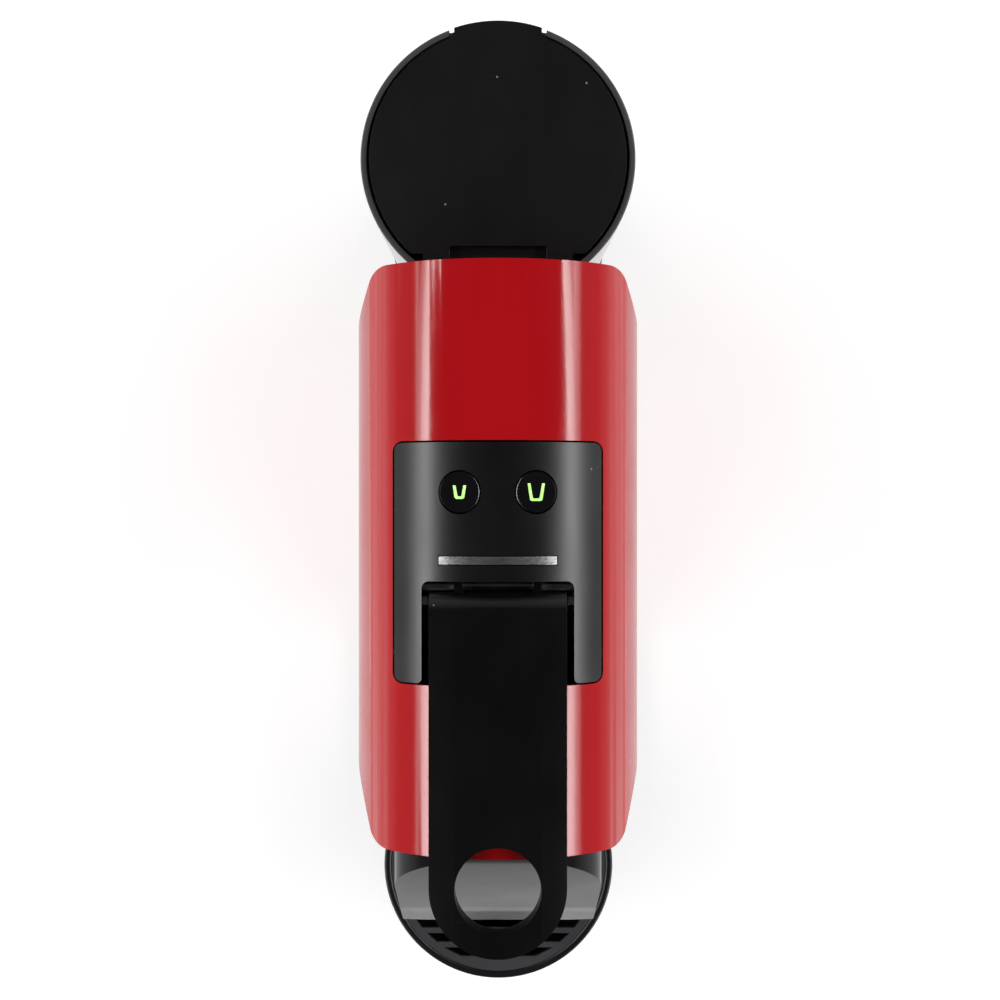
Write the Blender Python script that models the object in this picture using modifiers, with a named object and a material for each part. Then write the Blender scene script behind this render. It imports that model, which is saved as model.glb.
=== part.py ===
"""A slim coffee machine for capsules, modelled as the separate pieces it is assembled from.

Frame: metres, +Z up, the front of the machine faces -Y, and the origin lies on the floor under the
middle of the machine. The red arch, the brew unit under its lever, the water circuit, the electrical
boards, the waste module and the tank are each made by their own functions.
"""
from math import asin, atan2, cos, pi, radians, sin, sqrt, tan

import bmesh
import bpy
from mathutils import Matrix, Vector

# ---------------------------------------------------------------- driving dimensions
GAP = 0.0003              # the least gap kept between neighbouring pieces
ARCH_R = 0.042            # outer radius of the arched shell
ARCH_Z = 0.157            # height of the arch's centre line
SHELL_WALL = 0.0022
SHELL_REAR = 0.084
SHELL_FRONT = -0.0833
SHELL_BOTTOM = 0.0163
END_HALF_WIDTH = 0.036    # half width the tapered sides run to at the flat ends
TAPER_REAR = 0.0687       # where the sides start to taper, behind and in front
TAPER_FRONT = -0.061
COLUMN_FRONT = -0.0365    # front of the column, behind the cups
NOSE_R = 0.0312           # arched black nose, on the shell's own centre line
NOSE_FLOOR = 0.106
BASE_BOTTOM = 0.002
BASE_TOP = 0.016
TANK_R = 0.041
TANK_Y = 0.1184
TANK_WALL = 0.0018
TANK_FRONT = 0.0856       # flat front face of the tank
TANK_BOTTOM = 0.0165
TANK_TOP = 0.165
TRAY_R = 0.042
TRAY_Y = -0.1174
TRAY_TOP = 0.045
PANEL_HALF_WIDTH = 0.0295
PANEL_REAR = 0.0329
PANEL_FRONT = -0.0349
RECESS_HALF_WIDTH = 0.0215
RECESS_REAR = -0.0061
BUTTON_X = 0.0108
BUTTON_Y = 0.0189
BUTTON_R = 0.0059
LEVER_HALF_WIDTH = 0.0191
LEVER_TOP = 0.204
LEVER_RING_Y = -0.0906
LEVER_REAR_R = 0.0084     # the lever's rear end turns about its own axle
FINGER_R = 0.012
FINGER_Y = -0.0911
AXLE_Y = -0.0175
AXLE_Z = 0.1955
CRANK_R = 0.014           # from the axle to the crank pin
ROCKER_Z = 0.166          # pivot of the two rockers, straight under the axle
CAGE_Z = 0.150            # axis of the brewing chamber
CAGE_PIN_Z = 0.144
CAGE_R = 0.0186
CAGE_MOUTH = -0.052
SLOT_HALF_WIDTH = 0.0186  # capsule slot in the shell
SLOT_FRONT = -0.062
SWING = atan2(CRANK_R * sin(pi / 4), AXLE_Z - ROCKER_Z - CRANK_R * cos(pi / 4))
CAGE_TRAVEL = 2 * (ROCKER_Z - CAGE_PIN_Z) * tan(SWING)

# colour, roughness, metallic
FINISHES = {
    "red_shell": ((0.36, 0.006, 0.009), 0.18, 0.0),
    "satin_black": ((0.012, 0.012, 0.013), 0.38, 0.0),
    "gloss_black": ((0.010, 0.010, 0.011), 0.12, 0.0),
    "dark_grey": ((0.045, 0.045, 0.047), 0.5, 0.0),
    "smoky_clear": ((0.25, 0.26, 0.27), 0.05, 0.0),
    "silver_trim": ((0.62, 0.62, 0.63), 0.3, 0.9),
    "light_guide": ((0.35, 0.68, 0.17), 0.4, 0.0),
    "steel": ((0.55, 0.56, 0.57), 0.3, 1.0),
    "cast_alloy": ((0.6, 0.6, 0.61), 0.45, 1.0),
    "rubber": ((0.02, 0.02, 0.02), 0.8, 0.0),
    "silicone": ((0.72, 0.72, 0.70), 0.45, 0.0),
    "white_plastic": ((0.78, 0.78, 0.76), 0.45, 0.0),
    "board_green": ((0.03, 0.16, 0.07), 0.4, 0.0),
    "coil_wrap": ((0.08, 0.10, 0.16), 0.55, 0.0),
}
MATERIALS = {}


# ---------------------------------------------------------------- scene and materials
def clear_scene():
    for obj in list(bpy.data.objects):
        bpy.data.objects.remove(obj, do_unlink=True)


def make_collection(name):
    collection = bpy.data.collections.new(name)
    bpy.context.scene.collection.children.link(collection)
    return collection


def make_materials():
    for name, (colour, roughness, metallic) in FINISHES.items():
        material = bpy.data.materials.new(name)
        material.use_nodes = True
        shader = material.node_tree.nodes["Principled BSDF"]
        shader.inputs["Base Color"].default_value = (*colour, 1.0)
        shader.inputs["Roughness"].default_value = roughness
        shader.inputs["Metallic"].default_value = metallic
        material.diffuse_color = (*colour, 1.0)
        MATERIALS[name] = material


# ---------------------------------------------------------------- shapes
def register(obj, finish):
    """Names the finish, and puts the object among the parts, or among the cutters without one."""
    home = PARTS if finish else CUTTERS
    for collection in list(obj.users_collection):
        collection.objects.unlink(obj)
    home.objects.link(obj)
    if finish:
        obj.data.materials.clear()
        obj.data.materials.append(MATERIALS[finish])
    else:
        obj.hide_render = True
        obj.display_type = "WIRE"
    return obj


def new_mesh_object(name, mesh, finish):
    obj = bpy.data.objects.new(name, mesh)
    PARTS.objects.link(obj)
    return register(obj, finish)


def round_edges(obj, width, segments=2, angle=40):
    if width:
        bevel = obj.modifiers.new("round_edges", "BEVEL")
        bevel.width = width
        bevel.segments = segments
        bevel.limit_method = "ANGLE"
        bevel.angle_limit = radians(angle)
    return obj


def box(name, low, high, finish=None, bevel=0.0):
    """A box between two corners."""
    low, high = Vector(low), Vector(high)
    bpy.ops.mesh.primitive_cube_add(size=1.0)
    obj = bpy.context.object
    obj.name = name
    obj.data.transform(Matrix.LocRotScale((low + high) / 2, None, high - low))
    return round_edges(register(obj, finish), bevel)


def rod(name, radius, start, end, finish=None, sides=20, bevel=0.0, tip_radius=None):
    """A round rod, or a cone where tip_radius is given, from one point to another."""
    start, end = Vector(start), Vector(end)
    mesh = bpy.data.meshes.new(name)
    work = bmesh.new()
    bmesh.ops.create_cone(
        work, cap_ends=True, segments=sides, radius1=radius, depth=(end - start).length,
        radius2=radius if tip_radius is None else tip_radius)
    turn = Vector((0, 0, 1)).rotation_difference(end - start).to_matrix().to_4x4()
    bmesh.ops.transform(work, matrix=Matrix.Translation((start + end) / 2) @ turn, verts=work.verts)
    work.to_mesh(mesh)
    work.free()
    return round_edges(new_mesh_object(name, mesh, finish), bevel)


def arc(centre, radius, start, end, steps):
    """Points of an arc, in degrees, both ends included."""
    angles = [radians(start + (end - start) * i / steps) for i in range(steps + 1)]
    return [(centre[0] + radius * cos(a), centre[1] + radius * sin(a)) for a in angles]


def rounded(corners, steps=4):
    """An outline from corners (x, y, radius), each rounded by its own radius."""
    points = []
    for i, (x, y, radius) in enumerate(corners):
        corner = Vector((x, y))
        if not radius:
            points.append((x, y))
            continue
        before = (Vector(corners[i - 1][:2]) - corner).normalized()
        after = (Vector(corners[(i + 1) % len(corners)][:2]) - corner).normalized()
        half = before.angle(after) / 2
        reach = radius / tan(half)
        middle = corner + (before + after).normalized() * radius / sin(half)
        first, last = corner + before * reach, corner + after * reach
        a, b = first - middle, last - middle
        turn = a.angle_signed(b)
        for step in range(steps + 1):
            angle = -turn * step / steps
            spoke = Vector((a.x * cos(angle) - a.y * sin(angle), a.x * sin(angle) + a.y * cos(angle)))
            points.append(tuple(middle + spoke))
    return points


def rectangle(low, high, radius=0.0, steps=4):
    (x0, y0), (x1, y1) = low, high
    return rounded([(x0, y0, radius), (x1, y0, radius), (x1, y1, radius), (x0, y1, radius)], steps)


AXES = {
    "Z": Matrix.Identity(4),
    "Y": Matrix.Rotation(pi / 2, 4, "X"),                            # outline (x, z), thickness along Y
    "X": Matrix.Rotation(pi / 2, 4, "Z") @ Matrix.Rotation(pi / 2, 4, "X"),  # outline (y, z), along X
}


def plate(name, outline, low, high, axis="Z", finish=None, holes=(), bevel=0.0):
    """A flat outline given a thickness, from low to high along the axis it faces."""
    curve = bpy.data.curves.new(name, "CURVE")
    curve.dimensions = "2D"
    curve.fill_mode = "BOTH"
    curve.extrude = (high - low) / 2
    for loop in (outline, *holes):
        spline = curve.splines.new("POLY")
        spline.points.add(len(loop) - 1)
        for point, (x, y) in zip(spline.points, loop):
            point.co = (x, y, 0, 1)
        spline.use_cyclic_u = True
    guide = bpy.data.objects.new(name + "_outline", curve)
    PARTS.objects.link(guide)
    bpy.context.view_layer.update()
    graph = bpy.context.evaluated_depsgraph_get()
    mesh = bpy.data.meshes.new_from_object(guide.evaluated_get(graph))
    bpy.data.objects.remove(guide, do_unlink=True)
    middle = (low + high) / 2
    offset = {"Z": (0, 0, middle), "Y": (0, middle, 0), "X": (middle, 0, 0)}[axis]
    work = bmesh.new()
    work.from_mesh(mesh)
    bmesh.ops.remove_doubles(work, verts=work.verts, dist=1e-6)
    bmesh.ops.transform(work, matrix=Matrix.Translation(offset) @ AXES[axis], verts=work.verts)
    bmesh.ops.recalc_face_normals(work, faces=work.faces)
    work.to_mesh(mesh)
    work.free()
    mesh.name = name
    return round_edges(new_mesh_object(name, mesh, finish), bevel)


def turned(name, profile, base, finish=None, steps=24, direction=(0, 0, 1)):
    """A turned shape: its profile (radius, height) runs down the outer side, from top to bottom."""
    mesh = bpy.data.meshes.new(name)
    mesh.from_pydata([(r, 0, h) for r, h in profile], [(i, i + 1) for i in range(len(profile) - 1)], [])
    obj = new_mesh_object(name, mesh, finish)
    obj.location = base
    obj.rotation_mode = "QUATERNION"
    obj.rotation_quaternion = Vector((0, 0, 1)).rotation_difference(Vector(direction))
    screw = obj.modifiers.new("turn", "SCREW")
    screw.steps = steps
    screw.render_steps = steps
    screw.use_merge_vertices = True
    screw.merge_threshold = 0.00005
    screw.use_smooth_shade = True
    return obj


def tube(name, route, radius, finish, resolution=2):
    """A round hose or wire along a smooth curve through its route."""
    curve = bpy.data.curves.new(name, "CURVE")
    curve.dimensions = "3D"
    curve.bevel_depth = radius
    curve.bevel_resolution = resolution
    curve.use_fill_caps = True
    points = smooth_route(route)
    spline = curve.splines.new("POLY")
    spline.points.add(len(points) - 1)
    for point, place in zip(spline.points, points):
        point.co = (*place, 1)
    obj = bpy.data.objects.new(name, curve)
    PARTS.objects.link(obj)
    return register(obj, finish)


def smooth_route(route, steps=5):
    """Catmull-Rom points through the route."""
    knots = [Vector(p) for p in route]
    knots = [2 * knots[0] - knots[1], *knots, 2 * knots[-1] - knots[-2]]
    points = []
    for a, b, c, d in zip(knots, knots[1:], knots[2:], knots[3:]):
        for step in range(steps):
            t = step / steps
            points.append(0.5 * (2 * b + (c - a) * t + (2 * a - 5 * b + 4 * c - d) * t ** 2
                                 + (3 * b - a - 3 * c + d) * t ** 3))
    return points + [knots[-2]]


def boolean(obj, operation, *others):
    for other in others:
        modifier = obj.modifiers.new(operation.lower(), "BOOLEAN")
        modifier.operation = operation
        modifier.object = other
        modifier.solver = "EXACT"
    return obj


def cut(obj, *cutters):
    return boolean(obj, "DIFFERENCE", *cutters)


def join(obj, *others):
    return boolean(obj, "UNION", *others)


def arch(radius, bottom, steps=28):
    """The arch's outline in XZ: a half circle on straight legs."""
    return [(-radius, bottom), (radius, bottom)] + arc((0, ARCH_Z), radius, 0, 180, steps)


def shell_plan(inset=0.0, front=SHELL_FRONT, rear=SHELL_REAR):
    """The shell's plan: straight sides that taper to flat ends with rounded corners."""
    side, end, corner = ARCH_R - inset, END_HALF_WIDTH - inset, 0.006 - inset
    return rounded([
        (side, TAPER_FRONT, 0.004), (side, TAPER_REAR, 0.004), (end, rear - inset, corner),
        (-end, rear - inset, corner), (-side, TAPER_REAR, 0.004), (-side, TAPER_FRONT, 0.004),
        (-end, front + inset, corner), (end, front + inset, corner)])


# ---------------------------------------------------------------- casing
def build_shell():
    """The red arch: one moulding with rounded ends, open below and cut back under the head."""
    shell = plate("shell", arch(ARCH_R, SHELL_BOTTOM), SHELL_FRONT - 0.01, SHELL_REAR + 0.01, "Y",
                  "red_shell")
    boolean(shell, "INTERSECT", plate("shell_plan", shell_plan(), 0.0, 0.21))
    round_edges(shell, 0.0018, 3, 50)
    inner = plate("shell_inner", arch(ARCH_R - SHELL_WALL, -0.01), SHELL_FRONT, SHELL_REAR, "Y")
    boolean(inner, "INTERSECT", plate("shell_inner_plan", shell_plan(SHELL_WALL), -0.02, 0.21))
    under_head = [(-0.1, 0.0), (COLUMN_FRONT, 0.0), (COLUMN_FRONT, 0.1),
                  (-0.05, NOSE_FLOOR - 0.003), (-0.1, NOSE_FLOOR + 0.006)]
    front_rect = rectangle((-PANEL_HALF_WIDTH - 0.0005, PANEL_FRONT - 0.0005),
                           (PANEL_HALF_WIDTH + 0.0005, PANEL_REAR + 0.0005), 0.003)
    slot = rectangle((-SLOT_HALF_WIDTH, SLOT_FRONT), (SLOT_HALF_WIDTH, PANEL_FRONT + 0.002), 0.0)
    cut(shell, inner,
        plate("under_head", under_head, -0.05, 0.05, "X"),
        plate("panel_opening", front_rect, ARCH_Z + 0.01, 0.21),
        plate("capsule_slot", slot, ARCH_Z + 0.02, 0.21),
        plate("nose_opening", arch(NOSE_R + GAP, -0.01), SHELL_FRONT - 0.01, SHELL_FRONT + 0.01, "Y"),
        plate("rear_opening", rectangle((-0.0293, 0.0), (0.0293, 0.1503), 0.004),
              SHELL_REAR - 0.01, SHELL_REAR + 0.01, "Y"))


def build_nose():
    """The black front cover: an arch cut by a slope that runs down and forward to a lip."""
    profile = [(-0.0655, 0.2), (-0.0655, NOSE_FLOOR), (-0.1205, NOSE_FLOOR), (-0.1215, 0.1115),
               (-0.1125, 0.131), (-0.0868, 0.1855), (-0.083, 0.1892), (-0.08, 0.2)]
    inner = [(-0.1, 0.2), (-0.05, 0.2), (-0.05, 0.1082), (-0.1185, 0.1082), (-0.1187, 0.112),
             (-0.1102, 0.131), (-0.0845, 0.1855), (-0.079, 0.1905)]
    front_plan = [(-0.05, -0.06), (0.05, -0.06)] + arc((0, 0.278), 0.4, -81, -99, 12)
    nose = plate("front_nose", arch(NOSE_R, 0.1), -0.125, -0.0655, "Y", "gloss_black")
    slope = plate("nose_slope", profile, -0.05, 0.05, "X")
    boolean(slope, "INTERSECT", plate("nose_plan", front_plan, 0.05, 0.21))
    boolean(nose, "INTERSECT", slope)
    round_edges(nose, 0.0016, 3, 35)
    hollow = plate("nose_inner", arch(NOSE_R - 0.002, 0.09), -0.125, -0.05, "Y")
    boolean(hollow, "INTERSECT", plate("nose_inner_slope", inner, -0.05, 0.05, "X"))
    cut(nose, hollow, rod("outlet_hole", 0.0115, (0, -0.1, 0.09), (0, -0.1, 0.12), sides=32))


def build_rear_cover():
    """The black panel that closes the back, with slots that let the warm air out."""
    cover = plate("rear_cover", rectangle((-0.029, BASE_TOP + GAP), (0.029, 0.15), 0.0037),
                  SHELL_REAR - SHELL_WALL, SHELL_REAR - 0.0002, "Y", "satin_black")
    slots = [box("vent_slot", (-0.018, SHELL_REAR - 0.005, z), (0.018, SHELL_REAR + 0.005, z + 0.003))
             for z in (0.118, 0.125, 0.132, 0.139)]
    cut(cover, *slots)


def build_head_floor():
    """The plate under the head, and the slope that sends used capsules back into their container."""
    outline = rectangle((-0.0390, -0.0650), (0.0390, COLUMN_FRONT - 0.001), 0.003)
    plate("head_floor", outline, 0.1035, NOSE_FLOOR - GAP, "Z", "satin_black")
    profile = [(-0.0575, 0.1275), (-0.0575, 0.1255), (-0.0335, 0.1065), (-0.031, 0.1065)]
    plate("capsule_chute", profile, -0.0215, 0.0215, "X", "dark_grey")


def build_base():
    """The black plinth that carries the column and, behind it, the tank."""
    start = degrees_at(SHELL_REAR - TANK_Y, TANK_R)
    right = rounded([(ARCH_R, COLUMN_FRONT, 0.0015), (ARCH_R, TAPER_REAR, 0.004),
                     (END_HALF_WIDTH, SHELL_REAR, 0.006), (0.0, SHELL_REAR, 0.0),
                     (0.0, COLUMN_FRONT, 0.0)])[:-2]
    left = [(-x, y) for x, y in reversed(right)]
    outline = right + arc((0, TANK_Y), TANK_R, start, 180 - start, 40) + left
    base = plate("base", outline, BASE_BOTTOM, BASE_TOP, "Z", "satin_black")
    round_edges(base, 0.0012, 2, 50)
    cut(base,
        box("base_pocket", (-0.0355, -0.033, 0.005), (0.0355, 0.076, 0.03)),
        box("hose_channel", (-0.006, 0.07, 0.0065), (0.006, 0.104, 0.03)),
        rod("seat_bore", 0.0113, (0, 0.112, 0.0065), (0, 0.112, 0.03), sides=32),
        rod("gland_bore", 0.0053, (0.029, 0.06, 0.0105), (0.05, 0.06, 0.0105), sides=24))
    for index, (x, y) in enumerate(((-0.027, -0.022), (0.027, -0.022), (-0.02, 0.136), (0.02, 0.136))):
        rod(f"foot_{index + 1}", 0.0065, (x, y, 0), (x, y, BASE_BOTTOM - GAP), "rubber", 24)
    for index, x in enumerate((-0.0395, 0.0395)):
        rod(f"base_screw_{index + 1}", 0.0018, (x * 0.97, 0.03, 0.0045), (x * 0.97, 0.03, 0.0158),
            "steel", 16)
    gland = rod("cord_gland", 0.005, (0.0312, 0.06, 0.0105), (0.0418, 0.06, 0.0105), "rubber", 24)
    cut(gland, rod("gland_way", 0.0029, (0.02, 0.06, 0.0105), (0.05, 0.06, 0.0105), sides=20))
    screw_holes = [rod("screw_hole", 0.0021, (x * 0.97, 0.03, 0.0042), (x * 0.97, 0.03, 0.03), sides=16)
                   for x in (-0.0395, 0.0395)]
    cut(base, *screw_holes)


def build_panel():
    """The control panel: a piece of the same arch, cut out in a U for the lever."""
    outline = arc((0, ARCH_Z), ARCH_R, 40, 140, 24) + arc((0, ARCH_Z), ARCH_R - SHELL_WALL, 140, 40, 24)
    panel = plate("control_panel", outline, PANEL_FRONT - 0.01, PANEL_REAR + 0.01, "Y", "satin_black")
    wide, narrow = PANEL_HALF_WIDTH, RECESS_HALF_WIDTH
    plan = rounded([
        (wide, PANEL_FRONT, 0.0022), (wide, PANEL_REAR, 0.0022), (-wide, PANEL_REAR, 0.0022),
        (-wide, PANEL_FRONT, 0.0022), (-narrow, PANEL_FRONT, 0.0015), (-narrow, RECESS_REAR, 0.0022),
        (narrow, RECESS_REAR, 0.0022), (narrow, PANEL_FRONT, 0.0015)])
    boolean(panel, "INTERSECT", plate("panel_plan", plan, 0.15, 0.21))
    cut(panel, curved_bar("trim_pocket", None, 0.0172, 0.0014, ARCH_R - 0.0008, ARCH_R + 0.005))
    curved_bar("trim_bar", "silver_trim", 0.0169, 0.0011, ARCH_R - 0.0005, ARCH_R + 0.0003)
    for side, (name, scale) in ((-1, ("small", 1.0)), (1, ("large", 1.3))):
        build_button(panel, side, name, scale)


def curved_bar(name, finish, half_width, half_depth, inner, outer):
    """A narrow bar across the panel that follows the arch."""
    spread = half_width / ARCH_R * 180 / pi
    outline = (arc((0, ARCH_Z), outer, 90 - spread, 90 + spread, 12)
               + arc((0, ARCH_Z), inner, 90 + spread, 90 - spread, 12))
    return plate(name, outline, -half_depth - 0.0002, half_depth - 0.0002, "Y", finish)


def cup_outline(scale, grow=0.0):
    """An open-topped cup drawn with an even stroke."""
    top, bottom, height, stroke = 0.0019 * scale, 0.0013 * scale, 0.0038 * scale, 0.0007
    outer = [(-top - grow, height / 2 + grow), (-bottom - grow, -height / 2 - grow),
             (bottom + grow, -height / 2 - grow), (top + grow, height / 2 + grow)]
    thin = stroke + grow
    inner = [(top - thin, height / 2 + grow), (bottom - thin, -height / 2 + thin),
             (-bottom + thin, -height / 2 + thin), (-top + thin, height / 2 + grow)]
    return outer + inner


def build_button(panel, side, name, scale):
    """A round button square to the arch, with its cup-shaped light guide set in its face."""
    tilt = asin(BUTTON_X / ARCH_R)
    turn = Matrix.Rotation(side * tilt, 4, "Y")
    foot = Vector((side * BUTTON_X, BUTTON_Y, ARCH_Z + sqrt(ARCH_R ** 2 - BUTTON_X ** 2)))
    place = Matrix.Translation(foot) @ turn
    button = rod(f"button_{name}_cup", BUTTON_R, (0, 0, -0.0052), (0, 0, -0.0001), "gloss_black",
                 32, 0.0003)
    hole = rod("button_hole", BUTTON_R + 0.0003, (0, 0, -0.02), (0, 0, 0.02), sides=32)
    pocket = plate("icon_pocket", cup_outline(scale, 0.0002), -0.001, 0.01)
    icon = plate(f"icon_{name}", cup_outline(scale), -0.0009, -0.00005, "Z", "light_guide")
    for obj in (button, hole, pocket, icon):
        obj.data.transform(Matrix.Translation(-foot) @ place)
        obj.location = foot
    cut(button, pocket)
    cut(panel, hole)


# ---------------------------------------------------------------- lever and brewing unit
def lever_outline(half_width, rear, ring_y):
    """The lever seen from above: square at the rear, a half circle in front."""
    corners = [(half_width, ring_y, 0), (half_width, rear, 0.0015),
               (-half_width, rear, 0.0015), (-half_width, ring_y, 0)]
    return rounded(corners) + arc((0, ring_y), half_width, 180, 360, 28)[1:-1]


def build_lever():
    """The lever's cover with its finger ring, hollow underneath, and the crank it drives."""
    outline = lever_outline(LEVER_HALF_WIDTH, AXLE_Y + LEVER_REAR_R + 0.001, LEVER_RING_Y)
    cover = plate("lever_cover", outline, AXLE_Z + 0.0003, LEVER_TOP, "Z", "satin_black")
    crown = [(-0.02, 0.19), (0.02, 0.19)] + arc((0, LEVER_TOP - 0.14), 0.14, 82, 98, 12)
    rear_end = [(-0.12, 0.19), (AXLE_Y, 0.19)] + arc((AXLE_Y, AXLE_Z), LEVER_REAR_R, -40, 90, 12) \
        + [(-0.12, LEVER_TOP)]
    boolean(cover, "INTERSECT", plate("lever_crown", crown, -0.13, 0.02, "Y"),
            plate("lever_rear_end", rear_end, -0.03, 0.03, "X"))
    cut(cover, rod("finger_hole", FINGER_R, (0, FINGER_Y, 0.19), (0, FINGER_Y, 0.21), sides=40))
    round_edges(cover, 0.0012, 3, 45)
    hollow = [(-0.0842, 0.19), (0.0, 0.19), (AXLE_Y + 0.0062, AXLE_Z), (AXLE_Y + 0.0052, AXLE_Z + 0.0030),
              (AXLE_Y + 0.0025, AXLE_Z + 0.0047), (-0.0842, AXLE_Z + 0.0047)]
    cut(cover, plate("lever_hollow", hollow, -0.0173, 0.0173, "X"))

    arm = [(-0.058, AXLE_Z + 0.0012), (AXLE_Y, AXLE_Z - 0.0045)] \
        + arc((AXLE_Y + 0.0099, AXLE_Z - 0.0099), 0.0036, -135, 45, 8) \
        + arc((AXLE_Y, AXLE_Z), 0.0044, 0, 90, 8) + [(-0.058, AXLE_Z + 0.0044)]
    lever_arm = plate("lever_arm", arm, -0.0125, 0.0125, "X", "steel")
    cut(lever_arm,
        rod("arm_axle_hole", 0.0023, (-0.02, AXLE_Y, AXLE_Z), (0.02, AXLE_Y, AXLE_Z), sides=20),
        rod("arm_pin_hole", 0.0023, (-0.02, AXLE_Y + 0.0099, AXLE_Z - 0.0099),
            (0.02, AXLE_Y + 0.0099, AXLE_Z - 0.0099), sides=20),
        box("arm_gap", (-0.0100, -0.0540, 0.17), (0.0100, 0.01, 0.21)))
    rod("lever_axle", 0.002, (-0.0168, AXLE_Y, AXLE_Z), (0.0168, AXLE_Y, AXLE_Z), "steel", 20)
    rod("crank_pin", 0.002, (-0.0222, AXLE_Y + 0.0099, AXLE_Z - 0.0099),
        (0.0222, AXLE_Y + 0.0099, AXLE_Z - 0.0099), "steel", 20)


def build_rockers():
    """Two rockers that turn the crank pin's swing into the cage's travel."""
    for side, name in ((-1, "left"), (1, "right")):
        outline = [(-0.0065, -0.027), (-0.0031, -0.027), (-0.0031, -0.0185), (0.0031, -0.0185),
                   (0.0031, -0.027), (0.0065, -0.027), (0.0065, 0.0230), (0.0038, 0.0230),
                   (0.0038, 0.012), (-0.0038, 0.012), (-0.0038, 0.0230), (-0.0065, 0.0230)]
        rocker = plate(f"rocker_{name}", outline, 0.0, 0.0022, "X", "steel",
                       holes=[arc((0, 0), 0.0028, 0, 337.5, 15)])
        low = 0.0198 if side > 0 else -0.0220
        rocker.data.transform(Matrix.Translation((low, 0, 0)) @ Matrix.Rotation(-SWING, 4, "X"))
        rocker.location = (0, AXLE_Y, ROCKER_Z)
        rod(f"rocker_pivot_{name}", 0.0025, (side * 0.0194, AXLE_Y, ROCKER_Z),
            (side * 0.0246, AXLE_Y, ROCKER_Z), "steel", 20)


def build_brew_frame():
    """The frame of the brewing unit: two side plates, a front plate and a rear beam."""
    frame = box("brew_frame", (-0.0246, -0.0605, 0.128), (0.0246, -0.0575, 0.178), "dark_grey")
    pieces = [box("rear_beam", (-0.0246, 0.011, 0.157), (0.0246, 0.0145, 0.172))]
    for side in (-1, 1):
        low, high = sorted((side * 0.0226, side * 0.0246))
        pieces.append(box("side_plate", (low, -0.06, 0.128), (high, 0.0145, 0.178)))
    join(frame, *pieces)
    cut(frame,
        box("pin_slot", (-0.03, -0.0320, CAGE_PIN_Z - 0.0029), (0.03, -0.0030, CAGE_PIN_Z + 0.0029)),
        rod("pivot_bore", 0.0028, (-0.03, AXLE_Y, ROCKER_Z), (0.03, AXLE_Y, ROCKER_Z), sides=20),
        rod("plate_bore", 0.0165, (0, -0.07, CAGE_Z), (0, -0.05, CAGE_Z), sides=32))


def build_capsule_guide():
    """The well a capsule drops through, with the two ears that hold the lever's axle."""
    guide = box("capsule_guide", (-0.0212, -0.0636, 0.1742), (0.0212, -0.0354, 0.1895), "satin_black")
    pieces = []
    for side in (-1, 1):
        ear = arc((AXLE_Y, AXLE_Z), 0.0036, -60, 110, 10) + [
            (-0.0390, 0.1893), (-0.0390, 0.1862), (-0.0354, 0.1862), (-0.0285, 0.1890)]
        pieces.append(plate("hinge_ear", ear, *sorted((side * 0.0145, side * 0.0166)), "X"))
        low, high = sorted((side * 0.0145, side * 0.0205))
        pieces.append(box("ear_root", (low, -0.0388, 0.1864), (high, -0.0356, 0.1891)))
        low, high = sorted((side * 0.0206, side * 0.0244))
        pieces.append(box("guide_tab", (low, -0.0500, 0.1783), (high, -0.0440, 0.1810)))
    cut(guide, box("guide_well", (-0.0188, -0.0618, 0.17), (0.0188, -0.0300, 0.2)),
        box("guide_notch", (-0.03, -0.0609, 0.17), (0.03, -0.0571, 0.1783)))
    join(guide, *pieces)
    cut(guide, rod("axle_bore", 0.0023, (-0.0175, AXLE_Y, AXLE_Z), (0.0175, AXLE_Y, AXLE_Z), sides=20))


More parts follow.
